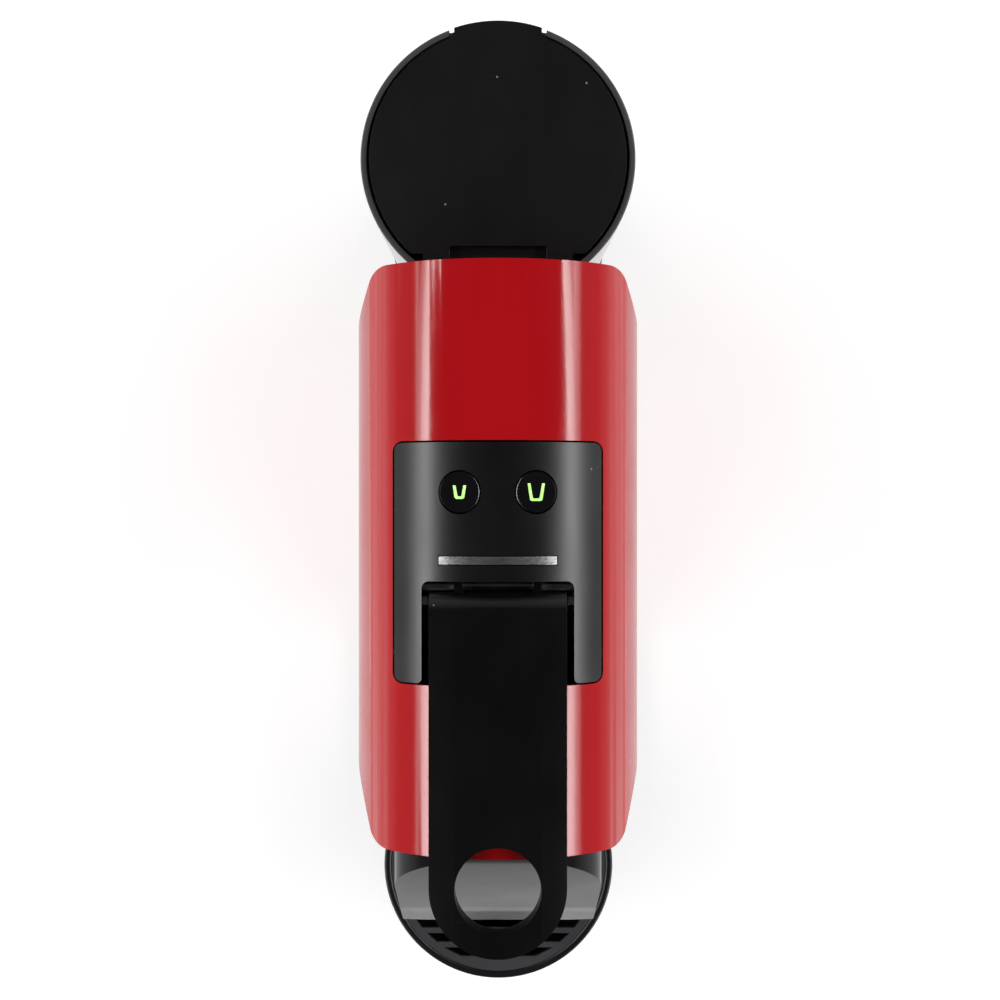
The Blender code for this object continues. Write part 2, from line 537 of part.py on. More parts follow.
def build_chamber():
    """The brewing chamber: the sliding cage with its blades, the fixed plate, its seal and the outlet."""
    rear, mouth, wall = 0.0315, 0.0, 0.0026
    profile = [(0.0, rear + 0.003), (0.006, rear + 0.003), (0.006, rear), (CAGE_R - 0.0006, rear),
               (CAGE_R, rear - 0.0006), (CAGE_R, mouth), (CAGE_R - wall, mouth),
               (CAGE_R - wall - 0.0025, rear - 0.003), (0.0, rear - 0.003)]
    cage = turned("capsule_cage", profile, (0, CAGE_MOUTH, CAGE_Z), "dark_grey", 28, (0, 1, 0))
    pin_y = AXLE_Y - tan(SWING) * (ROCKER_Z - CAGE_PIN_Z)
    pins = [rod("cage_pin", 0.0025, (side * 0.0165, pin_y, CAGE_PIN_Z),
                (side * 0.0245, pin_y, CAGE_PIN_Z), sides=20) for side in (-1, 1)]
    join(cage, *pins)
    cut(cage, rod("water_way", 0.0012, (0, -0.03, CAGE_Z), (0, 0.0, CAGE_Z), sides=12))
    blades = rod("piercing_blades", 0.0095, (0, CAGE_MOUTH + rear - 0.0045, CAGE_Z),
                 (0, CAGE_MOUTH + rear - 0.0033, CAGE_Z), "steel", 32)
    spikes = []
    for i in range(3):
        x, z = 0.0062 * cos(radians(90 + 120 * i)), 0.0062 * sin(radians(90 + 120 * i))
        spikes.append(rod("blade", 0.0013, (x, CAGE_MOUTH + rear - 0.0040, CAGE_Z + z),
                          (x, CAGE_MOUTH + rear - 0.0095, CAGE_Z + z), sides=8, tip_radius=0.0003))
    join(blades, *spikes)
    cut(blades, rod("blade_way", 0.0012, (0, -0.04, CAGE_Z), (0, 0.0, CAGE_Z), sides=12))
    plate_obj = rod("extraction_plate", 0.0158, (0, -0.0599, CAGE_Z), (0, -0.0555, CAGE_Z), "steel", 28)
    flange = rod("plate_flange", 0.0178, (0, -0.0571, CAGE_Z), (0, -0.0555, CAGE_Z), sides=28)
    holes = [rod("sieve_hole", 0.0008, (x, -0.07, CAGE_Z + z), (x, -0.05, CAGE_Z + z), sides=6)
             for x in (-0.008, 0.0, 0.008) for z in (-0.006, 0.0, 0.006)]
    join(plate_obj, flange)
    cut(plate_obj, *holes)
    ring = [(0.0176, 0.0022), (0.0176, 0.0), (0.0146, 0.0), (0.0146, 0.0022), (0.0176, 0.0022)]
    turned("plate_seal", ring, (0, -0.0552, CAGE_Z), "silicone", 24, (0, 1, 0))
    outlet = box("coffee_outlet", (-0.0165, -0.0725, 0.1345), (0.0165, -0.0608, 0.1655), "dark_grey", 0.001)
    spout = [(0.0, 0.032), (0.0085, 0.032), (0.0098, 0.014), (0.0098, 0.0), (0.0078, 0.0), (0.0078, 0.012),
             (0.0045, 0.017), (0.0, 0.017)]
    neck = box("outlet_neck", (-0.0075, -0.1, 0.1265), (0.0075, -0.07, 0.1375))
    nozzle = turned("outlet_nozzle", spout, (0, -0.1, 0.1015), None, 24)
    way = [rod("outlet_way", 0.0035, (0, -0.1, 0.132), (0, -0.0625, 0.132), sides=16),
           rod("outlet_drop", 0.0035, (0, -0.1, 0.132), (0, -0.1, 0.108), sides=16),
           rod("outlet_cup", 0.0145, (0, -0.0628, CAGE_Z), (0, -0.0600, CAGE_Z), sides=32),
           rod("outlet_slope", 0.0035, (0, -0.0645, 0.132), (0, -0.0645, CAGE_Z - 0.008), sides=16)]
    join(outlet, neck, nozzle)
    cut(outlet, *way)
    inlet = rod("cage_inlet", 0.004, (0, CAGE_MOUTH + rear + 0.0033, CAGE_Z),
                (0, CAGE_MOUTH + rear + 0.0098, CAGE_Z), "steel", 20)
    cut(inlet, rod("inlet_way", 0.0012, (0, -0.03, CAGE_Z), (0, 0.0, CAGE_Z), sides=12))


# ---------------------------------------------------------------- water circuit
def build_water_circuit():
    """Seat, flow meter, pump, heater and the hoses between them."""
    seat = turned("tank_seat", [(0.0, 0.0095), (0.0110, 0.0095), (0.0110, 0.0), (0.0, 0.0)],
                  (0, 0.112, 0.0068), "dark_grey", 32)
    cut(seat, turned("seat_cup", [(0.0, 0.02), (0.0085, 0.02), (0.0085, 0.004), (0.0, 0.004)],
                     (0, 0.112, 0.0068), None, 32),
        rod("seat_way", 0.0016, (0, 0.112, 0.0092), (0, 0.09, 0.0092), sides=12))
    tube("inlet_hose", [(0, 0.1003, 0.0092), (0, 0.094, 0.0094), (0, 0.075, 0.0095), (0.004, 0.060, 0.0105),
                        (0.016, 0.048, 0.018), (0.018, 0.047, 0.0246)], 0.0025, "silicone")
    meter = turned("flowmeter_body", [(0.0, 0.014), (0.0095, 0.014), (0.0095, 0.0), (0.0, 0.0)],
                   (0.018, 0.047, 0.025), "white_plastic", 32)
    cut(meter, turned("meter_well", [(0.0, 0.02), (0.0078, 0.02), (0.0078, 0.002), (0.0, 0.002)],
                      (0.018, 0.047, 0.025), None, 32))
    rotor = turned("flowmeter_rotor", [(0.0, 0.008), (0.0022, 0.008), (0.0022, 0.0), (0.0, 0.0)],
                   (0.018, 0.047, 0.0285), "dark_grey", 16)
    vanes = []
    for i in range(4):
        vane = box("vane", (0.001, -0.0005, 0.001), (0.0066, 0.0005, 0.006))
        vane.rotation_euler = (0, 0, i * pi / 2)
        vane.location = (0.018, 0.047, 0.0285)
        vanes.append(vane)
    join(rotor, *vanes)
    cover = turned("flowmeter_cover", [(0.0, 0.007), (0.0028, 0.007), (0.0028, 0.002), (0.0095, 0.002),
                                       (0.0095, 0.0), (0.0, 0.0)], (0.018, 0.047, 0.0393),
                   "white_plastic", 32)
    cut(cover, rod("cover_way", 0.0012, (0.018, 0.047, 0.035), (0.018, 0.047, 0.05), sides=12))
    tube("pump_hose", [(0.018, 0.047, 0.0467), (0.018, 0.047, 0.052), (0.010, 0.052, 0.056),
                       (0.003, 0.058, 0.046), (-0.001, 0.061, 0.028), (-0.007, 0.062, 0.0170),
                       (-0.0155, 0.062, 0.0165), (-0.0175, 0.062, 0.0256)], 0.0022, "silicone")
    pump_x, pump_y = -0.0175, 0.062
    profile = [(0.0, 0.092), (0.0035, 0.092), (0.0035, 0.080), (0.0095, 0.078), (0.0095, 0.055),
               (0.0075, 0.053), (0.0075, 0.020), (0.0095, 0.018), (0.0095, 0.008), (0.0035, 0.006),
               (0.0035, 0.0), (0.0, 0.0)]
    pump = turned("pump_body", profile, (pump_x, pump_y, 0.026), "white_plastic", 20)
    cut(pump, rod("pump_way", 0.0012, (pump_x, pump_y, 0.02), (pump_x, pump_y, 0.13), sides=12))
    coil = box("pump_coil", (pump_x - 0.0165, pump_y - 0.0155, 0.0472),
               (pump_x + 0.0165, pump_y + 0.0155, 0.0778), "coil_wrap", 0.0025)
    cut(coil, rod("coil_bore", 0.0079, (pump_x, pump_y, 0.04), (pump_x, pump_y, 0.09), sides=28))
    for name, low in (("lower", 0.0365), ("upper", 0.1065)):
        mount = box(f"pump_mount_{name}", (pump_x - 0.013, pump_y - 0.013, low),
                    (pump_x + 0.013, pump_y + 0.013, low + 0.005), "rubber", 0.0015)
        radius = 0.0098 if name == "lower" else 0.0038
        cut(mount, rod("mount_bore", radius, (pump_x, pump_y, low - 0.01),
                       (pump_x, pump_y, low + 0.01), sides=28))
    heater = box("thermoblock", (-0.030, 0.0195, 0.032), (0.012, 0.0395, 0.104), "cast_alloy", 0.002)
    ribs = [box("rib", (-0.0308, 0.0180, z), (0.0128, 0.0210, z + 0.002))
            for z in (0.044, 0.056, 0.068, 0.080, 0.092)]
    stubs = [rod("heater_in", 0.003, (-0.009, 0.0295, 0.100), (-0.009, 0.0295, 0.110), sides=16),
             rod("heater_out", 0.003, (0.004, 0.0295, 0.100), (0.004, 0.0295, 0.110), sides=16)]
    join(heater, *ribs, *stubs)
    tube("heater_hose", [(-0.0175, 0.062, 0.1183), (-0.0175, 0.0618, 0.1215), (-0.0160, 0.055, 0.1270),
                         (-0.0120, 0.042, 0.1250), (-0.0092, 0.0315, 0.118), (-0.009, 0.0295, 0.1104)],
         0.0022, "silicone")
    tube("brew_hose", [(0.004, 0.0295, 0.1104), (0.004, 0.0292, 0.116), (0.006, 0.0270, 0.130),
                       (0.004, 0.0235, 0.142), (0.0, 0.018, 0.1495), (0.0, 0.0125, 0.150)],
         0.0022, "silicone")


def build_boards():
    """The control board under the buttons and the power board beside the pump."""
    board = plate("control_board", rectangle((-0.0192, 0.0010), (0.0192, 0.0315), 0.002), 0.1805, 0.1821,
                  "Z", "board_green")
    parts = []
    for side in (-1, 1):
        x = side * (BUTTON_X - 0.0024)
        parts.append(box("switch_case", (x - 0.003, BUTTON_Y - 0.003, 0.1815),
                         (x + 0.003, BUTTON_Y + 0.003, 0.1865)))
        parts.append(rod("switch_stem", 0.0016, (x, BUTTON_Y, 0.186), (x, BUTTON_Y, 0.1913), sides=12))
    parts.append(box("board_plug", (-0.006, 0.0245, 0.1745), (0.006, 0.0300, 0.1810)))
    join(board, *parts)
    power = box("power_board", (0.0300, 0.0200, 0.060), (0.0316, 0.0700, 0.125), "board_green")
    lumps = [box("relay", (0.0180, 0.0240, 0.066), (0.0305, 0.0400, 0.080)),
             box("transformer", (0.0150, 0.0460, 0.085), (0.0305, 0.0660, 0.107)),
             rod("capacitor", 0.005, (0.0305, 0.030, 0.095), (0.016, 0.030, 0.095), sides=16)]
    join(power, *lumps)


# ---------------------------------------------------------------- waste module and tank
def build_waste_module():
    """The capsule container, the drip base it stands behind, and the round cup support with its grid."""
    container = box("capsule_container", (-0.0362, -0.0362, 0.0193), (0.0362, 0.0145, 0.0955),
                    "satin_black", 0.002)
    cut(container, box("container_inside", (-0.0344, -0.0340, 0.0213), (0.0344, 0.0127, 0.12)))
    front_panel = box("container_front", (-0.0390, -0.0395, 0.0193), (0.0390, -0.0368, 0.1008), None, 0.001)
    bridge = box("front_bridge", (-0.0300, -0.0375, 0.03), (0.0300, -0.0355, 0.09))
    join(container, front_panel, bridge)
    outline = [(0.0352, -0.0400), (0.0352, -0.096)] + arc((0, TRAY_Y), 0.0412, 31.3, -211.3, 44)[1:-1] \
        + [(-0.0352, -0.096), (-0.0352, -0.0400)]
    drip = plate("drip_base", outline, 0.0012, 0.0188, "Z", "satin_black")
    round_edges(drip, 0.0010, 2, 50)
    well = [(0.0330, -0.0420), (0.0330, -0.097)] + arc((0, TRAY_Y), 0.0390, 30, -210, 44)[1:-1] \
        + [(-0.0330, -0.097), (-0.0330, -0.0420)]
    cut(drip, plate("drip_well", well, 0.0032, 0.03))
    tongue = box("drip_tongue", (-0.0300, -0.0405, 0.0163), (0.0300, 0.0100, 0.0190))
    join(drip, tongue)
    profile = [(0.0408, 0.0), (0.0388, 0.0), (0.0388, 0.0215), (0.0366, 0.0222), (0.0366, 0.0232),
               (0.0396, 0.0238), (0.0396, 0.0258), (TRAY_R, 0.0258), (TRAY_R, 0.0225), (0.0408, 0.0205),
               (0.0408, 0.0)]
    turned("cup_support", profile, (0, TRAY_Y, TRAY_TOP - 0.0258), "satin_black", 48)
    build_grid()


def build_grid():
    """The round grid: a ring, slats across it and a solid crescent at the front."""
    radius, ring, pitch, width = 0.0393, 0.0027, 0.00525, 0.0019
    low, high = TRAY_TOP - 0.0018, TRAY_TOP - 0.0002
    grid = plate("drip_grid", arc((0, TRAY_Y), radius, 0, 360 - 360 / 64, 63), low, high, "Z", "dark_grey")
    openings = []
    inner = radius - ring
    slots = int(2 * inner / pitch) + 1
    for i in range(slots):
        y0 = -inner + 0.0026 + i * pitch
        y1 = min(y0 + pitch - width, inner - 0.0004)
        if y1 - y0 < 0.0012:
            continue
        half = [degrees_at(y, inner) for y in (y0, y1)]
        outline = (arc((0, TRAY_Y), inner, half[0], half[1], 3)
                   + arc((0, TRAY_Y), inner, 180 - half[1], 180 - half[0], 3))
        openings.append(plate("grid_slot", outline, low - 0.01, high + 0.01))
    cut(grid, *openings)


def degrees_at(offset, radius):
    return atan2(offset, sqrt(radius ** 2 - offset ** 2)) * 180 / pi


def tank_plan(inset=0.0):
    """The tank's outline: a circle with a flat front."""
    radius, front = TANK_R - inset, TANK_FRONT + inset - TANK_Y
    start = degrees_at(front, radius)
    return arc((0, TANK_Y), radius, start, 180 - start, 56)


def build_tank():
    """The clear tank, its hinged lid and the valve in its floor."""
    tank = plate("water_tank", tank_plan(0.0), TANK_BOTTOM, TANK_TOP, "Z", "smoky_clear")
    cut(tank, plate("tank_inside", tank_plan(TANK_WALL), TANK_BOTTOM + 0.0025, 0.2),
        rod("valve_hole", 0.0062, (0, 0.112, 0.01), (0, 0.112, 0.03), sides=28),
        box("hinge_notch", (-0.0238, 0.08, 0.1555), (0.0238, 0.09, 0.17)),
        box("lift_notch", (-0.0145, 0.15, 0.1605), (0.0145, 0.17, 0.17)))
    radius = TANK_R - TANK_WALL - 0.0009
    front = 0.0900 - TANK_Y
    start = degrees_at(front, radius)
    tongue, lift = 0.0222, 0.0138
    lift_angle = atan2(lift, TANK_R) * 180 / pi
    outline = arc((0, TANK_Y), radius, start, 90 - lift_angle * 1.07, 24) \
        + arc((0, TANK_Y), TANK_R - 0.0001, 90 - lift_angle, 90 + lift_angle, 8) \
        + arc((0, TANK_Y), radius, 90 + lift_angle * 1.07, 180 - start, 24) \
        + [(-tongue, 0.0900), (-tongue, 0.0852), (tongue, 0.0852), (tongue, 0.0900)]
    plate("tank_lid", outline, 0.1618, 0.1668, "Z", "satin_black")
    valve = turned("tank_valve_body", [(0.0, 0.0125), (0.0078, 0.0125), (0.0078, 0.0080), (0.0059, 0.0080),
                                       (0.0059, 0.0), (0.0, 0.0)], (0, 0.112, 0.0113), "dark_grey", 28)
    cut(valve, turned("valve_bore", [(0.0, 0.0110), (0.0042, 0.0110), (0.0042, 0.0018), (0.0, 0.0018)],
                      (0, 0.112, 0.0113), None, 24),
        rod("valve_port", 0.0024, (0, 0.112, 0.005), (0, 0.112, 0.03), sides=20))
    turned("valve_poppet", [(0.0, 0.0040), (0.0036, 0.0030), (0.0036, 0.0018), (0.0018, 0.0018),
                            (0.0018, -0.0004), (0.0, -0.0004)], (0, 0.112, 0.0116), "silicone", 20)


def build():
    clear_scene()
    make_materials()
    build_shell()
    build_nose()
    build_rear_cover()
    build_head_floor()
    build_base()
    build_panel()
    build_lever()
    build_rockers()
    build_brew_frame()
    build_capsule_guide()
    build_chamber()
    build_water_circuit()
    build_boards()
    build_waste_module()
    build_tank()


PARTS = make_collection("coffee_machine")
CUTTERS = make_collection("cutters")
build()
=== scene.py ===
"""The finished surface of a slim coffee machine for capsules, built around its packed mechanical model.

Each sub-assembly is a class: it reads its place from the frame, builds its skins with bmesh, and
dresses them in its own finishes. Everything is in metres, +Z up, with the machine's front facing -Y.
"""
import logging
from dataclasses import dataclass, field
from enum import Enum
from math import asin, atan2, cos, degrees, pi, radians, sin, sqrt, tan
from typing import Callable, Iterable, Sequence

import bmesh
import bpy
from mathutils import Matrix, Vector


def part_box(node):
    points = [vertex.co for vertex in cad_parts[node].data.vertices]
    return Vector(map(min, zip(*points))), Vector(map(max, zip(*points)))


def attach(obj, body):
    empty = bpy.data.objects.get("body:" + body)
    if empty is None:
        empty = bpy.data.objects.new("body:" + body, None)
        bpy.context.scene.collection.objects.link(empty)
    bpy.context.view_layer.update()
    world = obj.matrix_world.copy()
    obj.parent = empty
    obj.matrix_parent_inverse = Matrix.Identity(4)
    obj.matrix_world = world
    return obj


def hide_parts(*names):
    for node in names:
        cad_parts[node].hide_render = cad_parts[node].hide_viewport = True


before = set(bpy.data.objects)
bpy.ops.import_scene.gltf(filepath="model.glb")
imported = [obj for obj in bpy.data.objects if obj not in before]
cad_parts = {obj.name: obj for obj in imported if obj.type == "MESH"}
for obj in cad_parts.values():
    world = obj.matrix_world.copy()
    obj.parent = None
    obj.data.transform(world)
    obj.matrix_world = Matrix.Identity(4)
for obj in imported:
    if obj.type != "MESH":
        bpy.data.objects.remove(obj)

LOG = logging.getLogger("coffee_machine")
Point = tuple[float, float]
Outline = list[Point]
MM = 0.001
CLOSE = 1e-6              # points nearer than this are one point
ABOVE = 0.21              # a height above the whole machine


# ---------------------------------------------------------------- choices
class Axis(Enum):
    """The axis that a flat outline is given its thickness along."""

    X = "outline (y, z)"
    Y = "outline (x, z)"
    Z = "outline (x, y)"

    def matrix(self) -> Matrix:
        """Return the turn that lays the outline's plane square to this axis."""
        stand = Matrix.Rotation(pi / 2, 4, "X")
        turns = {Axis.X: Matrix.Rotation(pi / 2, 4, "Z") @ stand, Axis.Y: stand,
                 Axis.Z: Matrix.Identity(4)}
        return turns[self]


class Cut(Enum):
    """What a second solid does to the first."""

    TAKE = "DIFFERENCE"
    KEEP = "INTERSECT"
    ADD = "UNION"


# ---------------------------------------------------------------- places from the frame
@dataclass(frozen=True)
class Box:
    """The box of a mechanical piece at rest."""

    lo: Vector
    hi: Vector

    @classmethod
    def of(cls, node: str) -> "Box":
        """Return the box of one node of the frame."""
        lo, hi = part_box(node)
        return cls(Vector(lo), Vector(hi))

    @property
    def middle(self) -> Vector:
        """Return the middle of the box."""
        return (self.lo + self.hi) / 2

    @property
    def size(self) -> Vector:
        """Return the three sides of the box."""
        return self.hi - self.lo


# ---------------------------------------------------------------- outlines
def arc(centre: Point, radius: float, start: float, end: float, steps: int) -> Outline:
    """Return points along an arc.

    Args:
        centre: The arc's centre.
        radius: The arc's radius.
        start: First angle in degrees.
        end: Last angle in degrees.
        steps: Number of stretches.

    Returns:
        The points, both ends included.
    """
    angles = [radians(start + (end - start) * i / steps) for i in range(steps + 1)]
    return [(centre[0] + radius * cos(a), centre[1] + radius * sin(a)) for a in angles]


def rounded(corners: Sequence[tuple[float, float, float]], steps: int = 8) -> Outline:
    """Return an outline whose corners (x, y, radius) are each rounded by their own radius.

    Args:
        corners: The sharp corners, in order, each with its radius.
        steps: Number of stretches in each rounded corner.

    Returns:
        The rounded outline.
    """
    points: Outline = []
    for i, (x, y, radius) in enumerate(corners):
        corner = Vector((x, y))
        if not radius:
            points.append((x, y))
            continue
        before = (Vector(corners[i - 1][:2]) - corner).normalized()
        after = (Vector(corners[(i + 1) % len(corners)][:2]) - corner).normalized()
        half = before.angle(after) / 2
        middle = corner + (before + after).normalized() * radius / sin(half)
        spoke = corner + before * radius / tan(half) - middle
        turn = spoke.angle_signed(corner + after * radius / tan(half) - middle)
        for step in range(steps + 1):
            angle = -turn * step / steps
            points.append((middle.x + spoke.x * cos(angle) - spoke.y * sin(angle),
                           middle.y + spoke.x * sin(angle) + spoke.y * cos(angle)))
    return points


def rectangle(lo: Point, hi: Point, radius: float, steps: int = 8) -> Outline:
    """Return a rectangle with rounded corners.

    Args:
        lo: Lower left corner.
        hi: Upper right corner.
        radius: Radius of its corners.
        steps: Stretches in each corner.

    Returns:
        The outline.
    """
    return rounded([(lo[0], lo[1], radius), (hi[0], lo[1], radius), (hi[0], hi[1], radius),
                    (lo[0], hi[1], radius)], steps)


def chord_angle(offset: float, radius: float) -> float:
    """Return the angle in degrees of a circle's point at this height over its centre."""
    return degrees(asin(offset / radius))


# ---------------------------------------------------------------- solids
class Solid:
    """A closed body that is shaped by bmesh operators, then cut and joined with others."""

    def __init__(self) -> None:
        """Start with nothing."""
        self.mesh = bmesh.new()

    @classmethod
    def prism(cls, outline: Iterable[Point], low: float, high: float, axis: Axis = Axis.Z) -> "Solid":
        """Give a flat outline a thickness.

        Args:
            outline: The outline's points, in order.
            low: Where it starts along the axis.
            high: Where it ends along the axis.
            axis: The axis it faces.

        Returns:
            The solid.
        """
        solid = cls()
        ring = [solid.mesh.verts.new((x, y, 0.0)) for x, y in outline]
        face = solid.mesh.faces.new(ring)
        top = bmesh.ops.extrude_face_region(solid.mesh, geom=[face])
        raised = [v for v in top["geom"] if isinstance(v, bmesh.types.BMVert)]
        bmesh.ops.translate(solid.mesh, verts=raised, vec=(0.0, 0.0, high - low))
        shift = {Axis.X: (low, 0, 0), Axis.Y: (0, high, 0), Axis.Z: (0, 0, low)}[axis]
        bmesh.ops.transform(solid.mesh, matrix=Matrix.Translation(shift) @ axis.matrix(),
                            verts=solid.mesh.verts)
        return solid.closed()

    @classmethod
    def turned(cls, profile: Iterable[Point], base: Sequence[float], steps: int = 96,
               direction: Sequence[float] = (0, 0, 1)) -> "Solid":
        """Turn a closed profile about its axis.

        Args:
            profile: Points (radius, height), in order; the first and last may lie on the axis.
            base: Where the profile's origin goes.
            steps: Stretches around.
            direction: The way its axis points.

        Returns:
            The solid.
        """
        solid = cls()
        ring = [solid.mesh.verts.new((r, 0.0, h)) for r, h in profile]
        pairs = list(zip(ring, ring[1:]))
        if ring[0].co.x > CLOSE or ring[-1].co.x > CLOSE:
            pairs.append((ring[-1], ring[0]))
        edges = [solid.mesh.edges.new(pair) for pair in pairs]
        bmesh.ops.spin(solid.mesh, geom=ring + edges, axis=(0, 0, 1), cent=(0, 0, 0), steps=steps,
                       angle=2 * pi, use_merge=True)
        turn = Vector((0, 0, 1)).rotation_difference(Vector(direction)).to_matrix().to_4x4()
        bmesh.ops.transform(solid.mesh, matrix=Matrix.Translation(base) @ turn, verts=solid.mesh.verts)
        return solid.closed()

    @classmethod
    def lofted(cls, sections: Sequence[Sequence[Vector]]) -> "Solid":
        """Draw closed sections of equal point counts out into a body with flat ends.

        Args:
            sections: The sections, in order, each a closed ring of points.

        Returns:
            The solid.
        """
        solid = cls()
        ring = [solid.mesh.verts.new(p) for p in sections[0]]
        edges = [solid.mesh.edges.new((a, b)) for a, b in zip(ring, ring[1:] + ring[:1])]
        solid.mesh.faces.new(ring)
        for section in sections[1:]:
            grown = bmesh.ops.extrude_edge_only(solid.mesh, edges=edges)["geom"]
            new_edges = [g for g in grown if isinstance(g, bmesh.types.BMEdge)]
            follow = {}
            for face in (g for g in grown if isinstance(g, bmesh.types.BMFace)):
                for edge in face.edges:
                    olds = [v for v in edge.verts if v in ring]
                    if len(olds) == 1:
                        follow[olds[0]] = edge.other_vert(olds[0])
            ring = [follow[v] for v in ring]
            for vert, place in zip(ring, section):
                vert.co = place
            edges = new_edges
        solid.mesh.faces.new(ring)
        return solid.closed()

    @classmethod
    def of_node(cls, node: str) -> "Solid":
        """Return a merged copy of a mechanical piece's body."""
        solid, data = cls(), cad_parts[node].data
        verts = [solid.mesh.verts.new(v.co) for v in data.vertices]
        for polygon in data.polygons:
            solid.mesh.faces.new([verts[i] for i in polygon.vertices])
        bmesh.ops.remove_doubles(solid.mesh, verts=solid.mesh.verts, dist=CLOSE)
        bmesh.ops.dissolve_limit(solid.mesh, angle_limit=radians(0.5), verts=solid.mesh.verts,
                                 edges=solid.mesh.edges)
        bmesh.ops.recalc_face_normals(solid.mesh, faces=solid.mesh.faces)
        return solid

    @classmethod
    def gathered(cls, solids: Iterable["Solid"]) -> "Solid":
        """Return several bodies that don't touch as one, and use them up."""
        whole = cls()
        for solid in solids:
            part = bpy.data.meshes.new("part")
            solid.mesh.to_mesh(part)
            solid.mesh.free()
            whole.mesh.from_mesh(part)
            bpy.data.meshes.remove(part)
        return whole

    def closed(self) -> "Solid":
        """Merge doubled points and turn the faces outwards."""
        bmesh.ops.remove_doubles(self.mesh, verts=self.mesh.verts, dist=CLOSE)
        bmesh.ops.recalc_face_normals(self.mesh, faces=self.mesh.faces)
        return self

    def placed(self, matrix: Matrix) -> "Solid":
        """Move the whole body by a matrix."""
        bmesh.ops.transform(self.mesh, matrix=matrix, verts=self.mesh.verts)
        return self

    def softened(self, width: float, segments: int = 3, least: float = 40.0,
                 where: Callable[[Vector], bool] | None = None) -> "Solid":
        """Round the edges that turn more than an angle.

        Args:
            width: How far the rounding reaches.
            segments: Stretches across the rounding.
            least: The least turn, in degrees, that is rounded.
            where: Tells by an edge's middle whether it is rounded; every edge is if it is left out.

        Returns:
            The same body.
        """
        chosen = [e for e in self.mesh.edges
                  if len(e.link_faces) == 2 and e.calc_face_angle(0.0) > radians(least)
                  and (where is None or where((e.verts[0].co + e.verts[1].co) / 2))]
        bmesh.ops.bevel(self.mesh, geom=chosen, offset=width, offset_type="OFFSET", segments=segments,
                        profile=0.5, affect="EDGES", clamp_overlap=True, material=-1)
        return self

    def with_others(self, how: Cut, *others: "Solid") -> "Solid":
        """Cut this body by others, keep only what it shares with them, or join them to it.

        Args:
            how: What the others do.
            others: The other bodies, which are used up.

        Returns:
            The same body, with its new shape.
        """
        target = self._as_object("work")
        helpers = [other._as_object("helper") for other in others]
        for helper in helpers:
            modifier = target.modifiers.new("cut", "BOOLEAN")
            modifier.operation, modifier.object, modifier.solver = how.value, helper, "EXACT"
        graph = bpy.context.evaluated_depsgraph_get()
        graph.update()
        result = bpy.data.meshes.new_from_object(target.evaluated_get(graph))
        self.mesh = bmesh.new()
        self.mesh.from_mesh(result)
        for item in (target, *helpers):
            spent = item.data
            bpy.data.objects.remove(item, do_unlink=True)
            bpy.data.meshes.remove(spent)
        bpy.data.meshes.remove(result)
        bmesh.ops.remove_doubles(self.mesh, verts=self.mesh.verts, dist=CLOSE)
        bmesh.ops.dissolve_degenerate(self.mesh, edges=self.mesh.edges, dist=CLOSE)
        return self

    def less(self, *others: "Solid") -> "Solid":
        """Cut the others away."""
        return self.with_others(Cut.TAKE, *others)

    def _as_object(self, name: str) -> bpy.types.Object:
        """Turn the bmesh into an object in the scene, and free it."""
        mesh = bpy.data.meshes.new(name)
        self.mesh.to_mesh(mesh)
        self.mesh.free()
        obj = bpy.data.objects.new(name, mesh)
        bpy.context.scene.collection.objects.link(obj)
        return obj

    def piece(self, name: str, finish: "Finish", body: str, *nodes: str, slot: str = "",
              edge: float = 0.0, segments: int = 2, sharp: float = 35.0) -> bpy.types.Object:
        """Make the finished piece, dress it, and let it ride on its body.

        Args:
            name: The piece's name.
            finish: Its finish.
            body: The body it moves with.
            nodes: The mechanical nodes it stands for.
            slot: The record's material slot; not used.
            edge: Width of the small rounding on its remaining sharp edges.
            segments: Stretches across that rounding.
            sharp: The least turn, in degrees, that stays a sharp edge.

        Returns:
            The piece.
        """
        obj = self._as_object(name)
        mesh = obj.data
        mesh.shade_smooth()
        if edge:
            bevel = obj.modifiers.new("small_edges", "BEVEL")
            bevel.width, bevel.segments, bevel.limit_method = edge, segments, "ANGLE"
            bevel.angle_limit, bevel.harden_normals = radians(sharp), True
            bevel.use_clamp_overlap, bevel.miter_outer = True, "MITER_ARC"
        else:
            mesh.set_sharp_from_angle(angle=radians(sharp))
        mesh.materials.append(finish.material())
        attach(obj, body)
        if nodes:
            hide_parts(*nodes)
        LOG.info("%s rides on %s, %d faces", name, body, len(mesh.polygons))
        return obj


